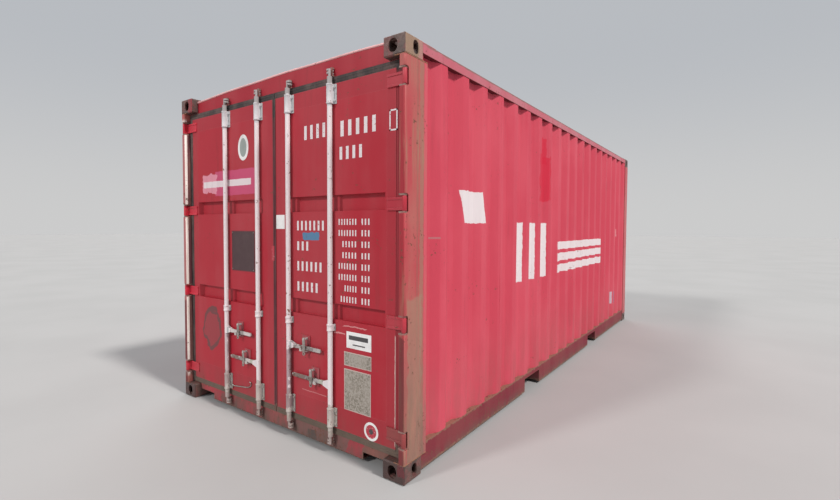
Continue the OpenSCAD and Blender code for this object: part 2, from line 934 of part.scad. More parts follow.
// Hinge blades of a leaf, each with two ribs and a bored knuckle round the post's pin
module leaf_hinges() {
  end_x = pin_x + pin_r / 2;
  for (z = hinge_z)
    difference() {
      union() {
        box([leaf_x1 - blade_lap, leaf_y0 - blade_t / 2, z - blade_h / 2], [end_x, leaf_y0, z + blade_h / 2]);
        for (s = [-1, 1])
          box([leaf_x1 - blade_lap, leaf_y0 - blade_t, z + s * (blade_h - blade_rib) / 2 - blade_rib / 2],
            [end_x, leaf_y0, z + s * (blade_h - blade_rib) / 2 + blade_rib / 2]);
        box([pin_x - pin_r - 1, pin_y, z - knuckle_h / 2], [end_x, leaf_y0 - blade_t / 2, z + knuckle_h / 2]);
        translate([pin_x, pin_y, z - knuckle_h / 2])
          cylinder(h = knuckle_h, r = knuckle_r, $fn = round_n);
      }
      translate([pin_x, pin_y, z - knuckle_h / 2 - 1])
        cylinder(h = knuckle_h + 2, r = pin_r + run, $fn = round_n);
    }
}

module right_door_hinges() {
  color("#9c3a3f")
    leaf_hinges();
}

module left_door_hinges() {
  color("#9c3a3f")
    mirror([1, 0, 0])
      leaf_hinges();
}

// Moves a child to a bar and turns it to face the handle's side
module at_bar(x, d, z) {
  translate([x, bar_y, z])
    scale([d, 1, 1])
      children();
}

// A bracket round a bar, h high, with a flange on both sides and a collar at both ends
module bearing(h, wide) {
  difference() {
    union() {
      cylinder(h = h, r = sleeve_r - 1.5, $fn = round_n);
      for (z = [0, h - collar_h])
        translate([0, 0, z])
          cylinder(h = collar_h, r = sleeve_r, $fn = round_n);
      box([2 - sleeve_r, 0, 0], [sleeve_r - 2, back, h]);
      box([-wide, back - flange_t, 0], [wide, back, h]);
    }
    translate([0, 0, -1])
      cylinder(h = h + 2, r = bar_r + run, $fn = round_n);
    box([-bar_r - 1.5 * run, run, -1], [bar_r + 1.5 * run, back + 1, h + 1]);
  }
}

// The handle keeper on the door: back plate, shelf, hook and pivot of the catch
module retainer() {
  front = -handle_t / 2 - 1;
  tip = catch_y0 + 1;
  low = -handle_h / 2 - hook_gap;
  hook_u = catch_u - catch_r - hook_w - 10;
  box([hook_u - flange_t, back - flange_t, low - hook_t - catch_r],
    [catch_u + 2 * catch_r, back, catch_up + catch_r + flange_t]);
  box([hook_u, front, low - hook_t], [catch_u + catch_r, back - flange_t, low]);
  box([hook_u, tip, low - hook_t], [hook_u + hook_w, front, low]);
  box([hook_u, tip, low], [hook_u + hook_w, tip + hook_t - 1, low + hook_h]);
  rod_y(catch_u, catch_y0 + catch_t + 1, back - flange_t, catch_up, 2 * catch_pin);
  rod_y(catch_u, catch_y0 - 1, catch_y0 + catch_t + 1, catch_up, catch_pin);
  rod_y(catch_u, catch_y0 - 4, catch_y0 - 1, catch_up, 2 * catch_pin);
}

// All brackets that one bar needs on the leaf
module bar_set(x, d, hz) {
  at_bar(x, d, leaf_z0 + bracket_low)
    bearing(bracket_h, flange_w);
  at_bar(x, d, leaf_z1 - bracket_top - bracket_h)
    bearing(bracket_h, flange_w);
  at_bar(x, d, guide_z)
    bearing(guide_h, sleeve_r + 6);
  at_bar(x, d, hz)
    retainer();
}

module right_bar_brackets() {
  color("#d9cfcd") {
    bar_set(bar_in, 1, handle_hi);
    bar_set(bar_out, -1, handle_lo);
  }
}

module left_bar_brackets() {
  color("#d9cfcd") {
    bar_set(-bar_out, 1, handle_hi);
    bar_set(-bar_in, -1, handle_lo);
  }
}

// Hook of a cam in plan, open away from the handle's side
module cam_outline() {
  polygon([[-6, 24], [-6, 30], [9, 30], [20, 24], [27, 14], [28, 0], [16, -10], [0, -9],
    [5, 5], [14, 9], [15, 17], [11, 24]]);
  circle(r = neck_r, $fn = round_n);
}

// A locking bar: tube, necks, two-pronged cams and the hub that holds the handle
module bar_body(hz) {
  z0 = cam_lo + cam_h / 2 + neck_l;
  z1 = cam_hi - cam_h / 2 - neck_l;
  difference() {
    union() {
      pillar(z0, z1)
        circle(r = bar_r, $fn = round_n);
      translate([0, 0, hz])
        along_y(-hub_t / 2, hub_t / 2)
          polygon([[0, -hub_h / 2], [bar_r, -hub_h / 2], [pivot_u + bar_r, -hub_h / 4],
            [pivot_u + bar_r, hub_h / 4], [bar_r, hub_h / 2], [0, hub_h / 2]]);
    }
    pillar(z0 + bar_t, z1 - bar_t)
      circle(r = bar_r - bar_t, $fn = round_n);
    box([pivot_u - eye_r - 3, -handle_t / 2 - hub_run, hz - hub_h],
      [pivot_u + hub_h, handle_t / 2 + hub_run, hz + hub_h]);
  }
  for (z = [cam_lo, cam_hi]) {
    pillar(z - cam_h / 2, z - cam_h / 2 + prong_h)
      cam_outline();
    pillar(z + cam_h / 2 - prong_h, z + cam_h / 2)
      cam_outline();
    pillar(z - cam_h / 2 + prong_h, z + cam_h / 2 - prong_h)
      circle(r = neck_r, $fn = round_n);
  }
  pillar(cam_lo + cam_h / 2, z0)
    circle(r = neck_r, $fn = round_n);
  pillar(z1, cam_hi - cam_h / 2)
    circle(r = neck_r, $fn = round_n);
  rod_y(pivot_u, -handle_t / 2 - hub_run, handle_t / 2 + hub_run, hz, pivot_r);
}

module locking_bar_1() {
  color("#d9cfcd")
    at_bar(-bar_out, 1, 0)
      bar_body(handle_hi);
}

module locking_bar_2() {
  color("#d9cfcd")
    at_bar(-bar_in, -1, 0)
      bar_body(handle_lo);
}

module locking_bar_3() {
  color("#d9cfcd")
    at_bar(bar_in, 1, 0)
      bar_body(handle_hi);
}

module locking_bar_4() {
  color("#d9cfcd")
    at_bar(bar_out, -1, 0)
      bar_body(handle_lo);
}

// A flat handle with an eye in the hub and a rounded grip
module handle_body(reach) {
  h = handle_h / 2;
  difference() {
    union() {
      rod_y(pivot_u, -handle_t / 2, handle_t / 2, 0, eye_r);
      along_y(-handle_t / 2, handle_t / 2)
        polygon([[pivot_u, -eye_r], [pivot_u + hub_h, -h], [reach - h, -h], [reach - h, h],
          [pivot_u + hub_h, h], [pivot_u, eye_r]]);
      rod_y(reach - h, -handle_t / 2, handle_t / 2, 0, h);
    }
    rod_y(pivot_u, -handle_t, handle_t, 0, pivot_r + run);
  }
}

module handle_1() {
  color("#d9cfcd")
    at_bar(-bar_out, 1, handle_hi)
      handle_body(reach_hi);
}

module handle_2() {
  color("#d9cfcd")
    at_bar(-bar_in, -1, handle_lo)
      handle_body(reach_mid);
}

module handle_3() {
  color("#d9cfcd")
    at_bar(bar_in, 1, handle_hi)
      handle_body(reach_hi);
}

module handle_4() {
  color("#d9cfcd")
    at_bar(bar_out, -1, handle_lo)
      handle_body(reach_lo);
}

// A catch that hangs from its pivot over the handle, with a hole for a padlock in its tail
module catch_body() {
  y0 = catch_y0;
  y1 = y0 + catch_t;
  w = catch_r - 1;
  end = w - catch_tail;
  difference() {
    union() {
      rod_y(catch_u, y0, y1, catch_up, catch_r);
      along_y(y0, y1)
        polygon([[catch_u - w, catch_up], [catch_u - w, -w], [catch_u - w / 2, end],
          [catch_u + w / 2, end], [catch_u + w, -w], [catch_u + w, catch_up]]);
      rod_y(catch_u, y0, y1, end, w);
    }
    rod_y(catch_u, y0 - 1, y1 + 1, catch_up, catch_pin + run);
    rod_y(catch_u, y0 - 1, y1 + 1, end, w / 2);
  }
}

module catch_1() {
  color("#c9bdbb")
    at_bar(-bar_out, 1, handle_hi)
      catch_body();
}

module catch_2() {
  color("#c9bdbb")
    at_bar(-bar_in, -1, handle_lo)
      catch_body();
}

module catch_3() {
  color("#c9bdbb")
    at_bar(bar_in, 1, handle_hi)
      catch_body();
}

module catch_4() {
  color("#c9bdbb")
    at_bar(bar_out, -1, handle_lo)
      catch_body();
}

corner_fittings_top_rear();
corner_fittings_top_front();
corner_fittings_bottom();
post_rear_left();
post_rear_right();
posts_front();
bottom_rails();
top_rails();
door_header();
door_sill();
front_header();
front_sill();
side_wall_left();
side_wall_right();
front_wall();
roof_panel();
roof_corner_plates();
cross_members();
fork_pocket_liners();
floor_boards();
floor_centre_rail();
hinge_lugs();
cam_keepers();
left_door_frame();
left_door_panel();
left_door_seal();
left_door_hinges();
left_bar_brackets();
right_door_frame();
right_door_panel();
right_door_seal();
right_door_hinges();
right_bar_brackets();
locking_bar_1();
locking_bar_2();
locking_bar_3();
locking_bar_4();
handle_1();
handle_2();
handle_3();
handle_4();
catch_1();
catch_2();
catch_3();
catch_4();
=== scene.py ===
"""Looks of a twenty-foot steel cargo container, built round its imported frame."""

from __future__ import annotations

import json
import logging
import math
from collections.abc import Iterable
from dataclasses import dataclass, field
from enum import Enum

import bmesh
import bpy
from mathutils import Matrix, Vector

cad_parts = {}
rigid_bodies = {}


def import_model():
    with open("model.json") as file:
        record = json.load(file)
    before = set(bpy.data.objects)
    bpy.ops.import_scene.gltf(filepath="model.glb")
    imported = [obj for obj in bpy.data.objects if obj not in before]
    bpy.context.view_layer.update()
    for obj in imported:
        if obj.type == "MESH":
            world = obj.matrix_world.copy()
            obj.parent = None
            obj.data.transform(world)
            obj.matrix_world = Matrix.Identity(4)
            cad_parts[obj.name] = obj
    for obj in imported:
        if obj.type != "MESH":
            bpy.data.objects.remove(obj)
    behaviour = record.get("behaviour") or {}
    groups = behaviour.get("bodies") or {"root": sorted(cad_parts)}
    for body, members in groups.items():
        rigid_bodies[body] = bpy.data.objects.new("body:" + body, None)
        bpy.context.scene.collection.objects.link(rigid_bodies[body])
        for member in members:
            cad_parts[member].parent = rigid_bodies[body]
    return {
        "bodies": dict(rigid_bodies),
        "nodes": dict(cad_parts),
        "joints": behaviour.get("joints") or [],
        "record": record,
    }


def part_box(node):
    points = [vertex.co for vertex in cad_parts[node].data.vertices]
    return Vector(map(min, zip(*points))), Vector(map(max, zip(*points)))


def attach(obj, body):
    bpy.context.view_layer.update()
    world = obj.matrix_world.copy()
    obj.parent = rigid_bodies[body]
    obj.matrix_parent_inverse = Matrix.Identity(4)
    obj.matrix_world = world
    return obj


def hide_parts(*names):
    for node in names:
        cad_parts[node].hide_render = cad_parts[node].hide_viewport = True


LOG = logging.getLogger("container")

Colour = tuple[float, float, float]
Point = tuple[float, float, float]
Socket = bpy.types.NodeSocket
Given = Socket | float | int | bool | tuple | str | bpy.types.Material


class NodeWriter:
    """Adds nodes to one tree, and links or sets each input by what it is given."""

    def __init__(self, tree: bpy.types.NodeTree) -> None:
        """Takes the tree to write in.

        Args:
            tree: A shader or geometry tree.
        """
        self.tree = tree

    def node(self, kind: str, inputs: dict[int | str, Given] | None = None,
             **settings: Given) -> bpy.types.Node:
        """Adds one node.

        Args:
            kind: The node's type name.
            inputs: Values or sockets by input name or number.
            settings: Properties of the node itself.

        Returns:
            The new node.
        """
        made = self.tree.nodes.new(kind)
        for name, value in settings.items():
            setattr(made, name, value)
        for name, value in (inputs or {}).items():
            if isinstance(value, bpy.types.NodeSocket):
                self.tree.links.new(value, made.inputs[name])
            else:
                made.inputs[name].default_value = value
        return made

    def out(self, kind: str, inputs: dict[int | str, Given] | None = None, **settings: Given) -> Socket:
        """Adds one node and returns its first output."""
        return self.node(kind, inputs, **settings).outputs[0]

    def math(self, operation: str, *values: Given) -> Socket:
        """Adds a Math node on the values and returns its result."""
        return self.out("ShaderNodeMath", dict(enumerate(values)), operation=operation)

    def chain(self, operation: str, *values: Given) -> Socket:
        """Joins three or more values by one operation, two at a time, and returns the result."""
        total = values[0]
        for value in values[1:]:
            total = self.math(operation, total, value)
        return total

    def vector(self, x: Given, y: Given, z: Given) -> Socket:
        """Joins three values in a vector."""
        return self.out("ShaderNodeCombineXYZ", {0: x, 1: y, 2: z})

    def split(self, vector: Socket) -> tuple[Socket, Socket, Socket]:
        """Takes a vector apart in its three values."""
        outputs = self.node("ShaderNodeSeparateXYZ", {0: vector}).outputs
        return outputs[0], outputs[1], outputs[2]

    def rise(self, value: Socket, low: Given, high: Given, top: float = 1.0, soft: bool = True) -> Socket:
        """Climbs from 0 at low to top at high, and stays level outside them.

        Args:
            value: What is followed.
            low: Where the climb starts.
            high: Where it ends, which may be below low.
            top: The highest result.
            soft: True rounds both ends of the climb.

        Returns:
            The result.
        """
        inputs = {"Value": value, "From Min": low, "From Max": high, "To Min": 0.0, "To Max": top}
        return self.out("ShaderNodeMapRange", inputs, interpolation_type="SMOOTHSTEP" if soft else "LINEAR")


class Shape(Enum):
    """Outline of a mark on a flat side."""

    BLOCK = "block"
    OVAL = "oval"
    RING = "ring"


class Side(Enum):
    """A side of the container that carries marks: its level axis and the axis that it faces."""

    END = (0, 1)
    LONG = (1, 0)
    ROOF = (0, 2)


@dataclass(frozen=True)
class Mark:
    """A patch of other paint, a rubbed place, or painted light and shade, at its real place and size in
    metres.
    """

    shape: Shape
    side: Side
    centre: tuple[float, float]
    half: tuple[float, float]
    colour: Colour
    cover: float = 1.0
    ragged: float = 0.0
    grain: float = 24.0
    band: float = 0.12
    depth: tuple[float, float] = (0.0, 9.0)
    lean: float = 0.0
    right_only: bool = False

    def mask(self, writer: "Surface") -> Socket:
        """Writes where the mark is.

        Args:
            writer: The surface that is being written.

        Returns:
            Cover from 0 to 1.
        """
        level, facing = self.side.value
        axes = writer.split(writer.place())
        up = axes[1] if self.side is Side.ROOF else axes[2]
        across = writer.math("SUBTRACT", axes[level], self.centre[0])
        high = writer.math("SUBTRACT", up, self.centre[1])
        if self.lean:
            across = writer.math("MULTIPLY_ADD", high, -self.lean, across)
        if self.ragged:
            torn = writer.math("SUBTRACT", writer.noise(self.grain, 3.0), 0.5)
            across = writer.math("MULTIPLY_ADD", torn, self.ragged, across)
            high = writer.math("MULTIPLY_ADD", torn, self.ragged, high)
        u = writer.math("DIVIDE", writer.math("ABSOLUTE", across), self.half[0])
        v = writer.math("DIVIDE", writer.math("ABSOLUTE", high), self.half[1])
        if self.shape is Shape.BLOCK:
            reach = writer.math("MAXIMUM", u, v)
        else:
            squares = writer.math("MULTIPLY_ADD", u, u, writer.math("MULTIPLY", v, v))
            reach = writer.math("SQRT", squares)
        if self.shape is Shape.RING:
            reach = writer.math("DIVIDE", writer.math("ABSOLUTE", writer.math("SUBTRACT", reach, 1.0)),
                                self.band)
        inside = writer.rise(reach, 1.0, 0.96, self.cover)
        depth = axes[facing] if self.right_only else writer.math("ABSOLUTE", axes[facing])
        near = writer.math("GREATER_THAN", depth, self.depth[0])
        far = writer.math("LESS_THAN", depth, self.depth[1])
        return writer.chain("MULTIPLY", inside, near, far)


def end_mark(centre: tuple[float, float], half: tuple[float, float], colour: Colour, *more: float,
             **named: float | bool | tuple[float, float]) -> Mark:
    """Gives a square-cornered mark on the faces that look along the container."""
    return Mark(Shape.BLOCK, Side.END, centre, half, colour, *more, **named)


def side_mark(centre: tuple[float, float], half: tuple[float, float], colour: Colour, *more: float,
              **named: float | bool | tuple[float, float]) -> Mark:
    """Gives a square-cornered mark on the faces that look across the container."""
    return Mark(Shape.BLOCK, Side.LONG, centre, half, colour, *more, **named)


class Surface(NodeWriter):
    """Writes the node tree of one material on Object coordinates."""

    def __init__(self, name: str) -> None:
        """Makes an empty material with its shader.

        Args:
            name: The material's name.
        """
        self.material = bpy.data.materials.new(name)
        self.material.use_nodes = True
        super().__init__(self.material.node_tree)
        self.shader = self.tree.nodes["Principled BSDF"]
        self.coordinates = self.tree.nodes.new("ShaderNodeTexCoord")

    def place(self, stretch: Point = (1.0, 1.0, 1.0)) -> Socket:
        """Gives the place on the object, scaled on each axis."""
        if stretch == (1.0, 1.0, 1.0):
            return self.coordinates.outputs["Object"]
        inputs = {"Vector": self.coordinates.outputs["Object"], "Scale": stretch}
        return self.out("ShaderNodeMapping", inputs)

    def noise(self, scale: float, detail: float = 2.0, stretch: Point = (1.0, 1.0, 1.0),
              rough: float = 0.5) -> Socket:
        """Gives cloudy noise.

        Args:
            scale: Clouds per metre.
            detail: Octaves of finer clouds.
            stretch: Scale on each axis, for streaks.
            rough: Strength of the finer clouds.

        Returns:
            A value round 0.5.
        """
        inputs = {"Vector": self.place(stretch), "Scale": scale, "Detail": detail, "Roughness": rough}
        return self.out("ShaderNodeTexNoise", inputs)

    def mix(self, share: Given, first: Given, second: Given) -> Socket:
        """Blends two colours."""
        ends = [c if isinstance(c, bpy.types.NodeSocket) else (*c, 1.0) for c in (first, second)]
        made = self.node("ShaderNodeMix", {0: share, 6: ends[0], 7: ends[1]}, data_type="RGBA")
        return made.outputs[2]

    def edge(self, radius: float) -> Socket:
        """Gives 0 on flat faces and more near outer and inner edges.

        Args:
            radius: Distance in metres over which an edge is felt.

        Returns:
            The closeness of an edge.
        """
        rounded = self.out("ShaderNodeBevel", {"Radius": radius}, samples=4)
        plain = self.node("ShaderNodeNewGeometry").outputs["Normal"]
        dot = self.node("ShaderNodeVectorMath", {0: rounded, 1: plain},
                        operation="DOT_PRODUCT").outputs["Value"]
        return self.math("SUBTRACT", 1.0, dot)

    def marked(self, colour: Given, marks: Iterable[Mark]) -> Given:
        """Lays marks over a colour, one on another, and returns the result."""
        for mark in marks:
            colour = self.mix(mark.mask(self), colour, mark.colour)
        return colour

    def facing(self, way: Point) -> Socket:
        """Gives 1 on faces that look the given way, and 0 on the others."""
        normal = self.coordinates.outputs["Normal"]
        dot = self.node("ShaderNodeVectorMath", {0: normal, 1: way}, operation="DOT_PRODUCT").outputs["Value"]
        return self.math("GREATER_THAN", dot, 0.3)

    def finish(self, colour: Given, rough: Given, height: Socket | None = None, depth: float = 0.001,
               metal: Given = 0.0, strength: float = 1.0) -> bpy.types.Material:
        """Feeds the shader.

        Args:
            colour: Base colour, or the socket that gives it.
            rough: Roughness, or its socket.
            height: What the bump follows, if there is any.
            depth: Height of the bump in metres.
            metal: Metallic share, or its socket.
            strength: Strength of the bump.

        Returns:
            The finished material.
        """
        for name, value in (("Base Color", colour), ("Roughness", rough), ("Metallic", metal)):
            if isinstance(value, bpy.types.NodeSocket):
                self.tree.links.new(value, self.shader.inputs[name])
            else:
                self.shader.inputs[name].default_value = (*value, 1.0) if name == "Base Color" else value
        if height is not None:
            inputs = {"Height": height, "Distance": depth, "Strength": strength}
            self.tree.links.new(self.out("ShaderNodeBump", inputs), self.shader.inputs["Normal"])
        return self.material


@dataclass(frozen=True)
class AgedPaint:
    """Old enamel on steel: faded in clouds, streaked downwards, worn at its edges and rusty in its chips."""

    name: str
    fresh: Colour
    faded: Colour
    fade: float = 0.6
    streak: float = 0.3
    streak_colour: Colour = (0.10, 0.035, 0.03)
    streak_from: float = 0.52
    chips: float = 0.5
    chip_colour: Colour = (0.17, 0.075, 0.05)
    edges: float = 0.6
    edge_colour: Colour = (0.62, 0.30, 0.30)
    edge_reach: float = 0.006
    grime: float = 0.25
    grime_top: float = 0.5
    grime_colour: Colour = (0.13, 0.09, 0.075)
    rough: float = 0.45
    dents: float = 0.0
    specular: float = 0.3
    turned: tuple[tuple[Point, Colour, float], ...] = ()
    marks: tuple[Mark, ...] = ()
    over: tuple[Mark, ...] = ()

    def build(self) -> bpy.types.Material:
        """Writes the material.

        Returns:
            The material.
        """
        s = Surface(self.name)
        clouds = s.noise(1.1, 4.0, rough=0.6)
        wash = s.noise(2.0, 3.0, (2.6, 2.6, 0.35))
        fade = s.math("MULTIPLY", s.rise(s.chain("ADD", clouds, wash), 0.8, 1.25), self.fade)
        colour = s.mix(fade, self.fresh, self.faded)
        colour = s.marked(colour, self.marks)
        # Faces that look one way take another colour: on some paints the inside colour, on others painted
        # shade on faces that look down.
        for way, other, cover in self.turned:
            colour = s.mix(s.math("MULTIPLY", s.facing(way), cover), colour, other)
        runs = s.noise(7.0, 5.0, (4.0, 4.0, 0.22), 0.65)
        patchy = s.rise(s.noise(1.7, 2.0), 0.35, 0.7)
        runs = s.chain("MULTIPLY", s.rise(runs, self.streak_from, self.streak_from + 0.26), patchy,
                       self.streak)
        colour = s.mix(runs, colour, self.streak_colour)
        up = s.split(s.place())[2]
        low = s.math("MULTIPLY", s.rise(up, self.grime_top, 0.0), self.grime)
        dusty = s.math("MULTIPLY", low, s.rise(s.noise(5.0, 6.0, (1.8, 1.8, 0.5), 0.7), 0.3, 0.65))
        colour = s.marked(s.mix(dusty, colour, self.grime_colour), self.over)
        fine = s.noise(38.0, 6.0, rough=0.68)
        worn = s.rise(s.math("MULTIPLY_ADD", fine, 0.5, s.edge(self.edge_reach)), 0.36, 0.5, self.edges)
        colour = s.mix(worn, colour, self.edge_colour)
        spots = s.math("MULTIPLY_ADD", s.noise(3.1, 3.0), 0.35, fine)
        chip = s.rise(spots, 0.86 - 0.08 * self.chips, 0.90 - 0.08 * self.chips)
        colour = s.mix(chip, colour, self.chip_colour)
        bare = s.chain("MAXIMUM", chip, runs, dusty)
        rough = s.math("MULTIPLY_ADD", bare, 0.9 - self.rough, self.rough)
        skin = s.math("MULTIPLY", s.noise(160.0, 2.0), 0.05)
        height = s.math("SUBTRACT", skin, s.math("MULTIPLY", chip, 0.6))
        if self.dents:
            height = s.math("MULTIPLY_ADD", s.noise(2.2, 2.0, (1.0, 0.8, 1.0)), self.dents, height)
        s.shader.inputs["Specular IOR Level"].default_value = self.specular
        return s.finish(colour, rough, height, 0.0012)


@dataclass(frozen=True)
class RustySteel:
    """Bare or nearly bare steel, brown with rust, with scraps of its old paint."""

    name: str
    dark: Colour = (0.085, 0.05, 0.04)
    light: Colour = (0.30, 0.19, 0.14)
    scraps: Colour = (0.36, 0.055, 0.06)
    scrap_share: float = 0.35
    scale: float = 9.0
    marks: tuple[Mark, ...] = ()

    def build(self) -> bpy.types.Material:
        """Writes the material.

        Returns:
            The material.
        """
        s = Surface(self.name)
        cloud = s.noise(self.scale, 6.0, rough=0.7)
        colour = s.mix(s.rise(cloud, 0.32, 0.68), self.dark, self.light)
        scraps = s.rise(s.noise(self.scale * 1.7, 5.0, rough=0.66), 0.53, 0.57, self.scrap_share)
        colour = s.marked(s.mix(scraps, colour, self.scraps), self.marks)
        bright = s.rise(s.math("MULTIPLY_ADD", cloud, 0.4, s.edge(0.006)), 0.34, 0.5, 0.5)
        colour = s.mix(bright, colour, self.light)
        grain = s.noise(90.0, 6.0, rough=0.75)
        return s.finish(colour, s.rise(grain, 0.2, 0.8, 0.92), grain, 0.002)


@dataclass(frozen=True)
class BrightSteel:
    """Plated or scraped steel, dull and finely scratched."""

    name: str
    colour: Colour = (0.50, 0.49, 0.47)
    dirt: Colour = (0.16, 0.12, 0.10)
    scale: float = 22.0
    shine: float = 0.75
    stained: float = 0.5

    def build(self) -> bpy.types.Material:
        """Writes the material.

        Returns:
            The material.
        """
        s = Surface(self.name)
        patchy = s.rise(s.noise(self.scale * 0.08, 3.0), 0.3, 0.6)
        stain = s.rise(s.noise(self.scale, 5.0, rough=0.7), self.stained, self.stained + 0.18, 0.8)
        stain = s.math("MULTIPLY", stain, s.math("MULTIPLY_ADD", patchy, 0.6, 0.4))
        scratch = s.noise(60.0, 3.0, (1.0, 1.0, 9.0))
        metal = s.math("MULTIPLY", s.math("SUBTRACT", 1.0, stain), self.shine)
        rough = s.math("MULTIPLY_ADD", stain, 0.3, 0.42)
        return s.finish(s.mix(stain, self.colour, self.dirt), rough, scratch, 0.0004, metal)


@dataclass(frozen=True)
class Rubber:
    """Black rubber, greyed by dust."""

    name: str
    colour: Colour = (0.030, 0.024, 0.024)
    dust: Colour = (0.15, 0.095, 0.085)
    marks: tuple[Mark, ...] = ()

    def build(self) -> bpy.types.Material:
        """Writes the material.

        Returns:
            The material.
        """
        s = Surface(self.name)
        dust = s.rise(s.noise(6.0, 5.0, (1.0, 1.0, 0.6), 0.65), 0.36, 0.72, 0.85)
        grain = s.noise(220.0, 2.0)
        return s.finish(s.marked(s.mix(dust, self.colour, self.dust), self.marks), 0.78, grain, 0.0003)


@dataclass(frozen=True)
class Plywood:
    """Varnished plywood, scuffed by cargo, with its grain along the container."""

    name: str
    dark: Colour = (0.20, 0.105, 0.05)
    light: Colour = (0.40, 0.25, 0.14)

    def build(self) -> bpy.types.Material:
        """Writes the material.

        Returns:
            The material.
        """
        s = Surface(self.name)
        grain = s.noise(26.0, 5.0, (1.0, 0.05, 1.0), 0.6)
        colour = s.mix(s.rise(grain, 0.3, 0.7), self.dark, self.light)
        scuff = s.rise(s.noise(3.0, 6.0, (1.0, 0.5, 1.0), 0.7), 0.5, 0.75, 0.6)
        colour = s.mix(scuff, colour, (0.30, 0.26, 0.22))
        return s.finish(colour, s.math("MULTIPLY_ADD", scuff, 0.2, 0.6), grain, 0.0006)


@dataclass(frozen=True)
class PlainCoat:
    """A thin printed or painted film, such as a sticker, with a little dirt and some scratches."""

    name: str
    colour: Colour
    under: Colour
    wear: float = 0.3
    dirt: float = 0.25
    rough: float = 0.5
    speck: float = 55.0

    def build(self) -> bpy.types.Material:
        """Writes the material.

        Returns:
            The material.
        """
        s = Surface(self.name)
        dirt = s.rise(s.noise(9.0, 5.0, rough=0.66), 0.4, 0.8, self.dirt)
        colour = s.mix(dirt, self.colour, (0.22, 0.16, 0.14))
        worn = s.rise(s.noise(self.speck, 5.0, rough=0.7), 0.72 - 0.25 * self.wear, 0.76 - 0.25 * self.wear)
        colour = s.mix(worn, colour, self.under)
        return s.finish(colour, self.rough, worn, 0.0003)


@dataclass(frozen=True)
class StudioFloor:
    """Plain pale floor."""

    name: str = "studio_floor"
    colour: Colour = (0.365, 0.362, 0.358)

    def build(self) -> bpy.types.Material:
        """Writes the material.

        Returns:
            The material.
        """
        s = Surface(self.name)
        shade = s.rise(s.noise(0.6, 3.0), 0.3, 0.7)
        darker = tuple(0.94 * c for c in self.colour)
        return s.finish(s.mix(shade, self.colour, darker), 0.85)


Finish = AgedPaint | RustySteel | BrightSteel | Rubber | Plywood | PlainCoat | StudioFloor


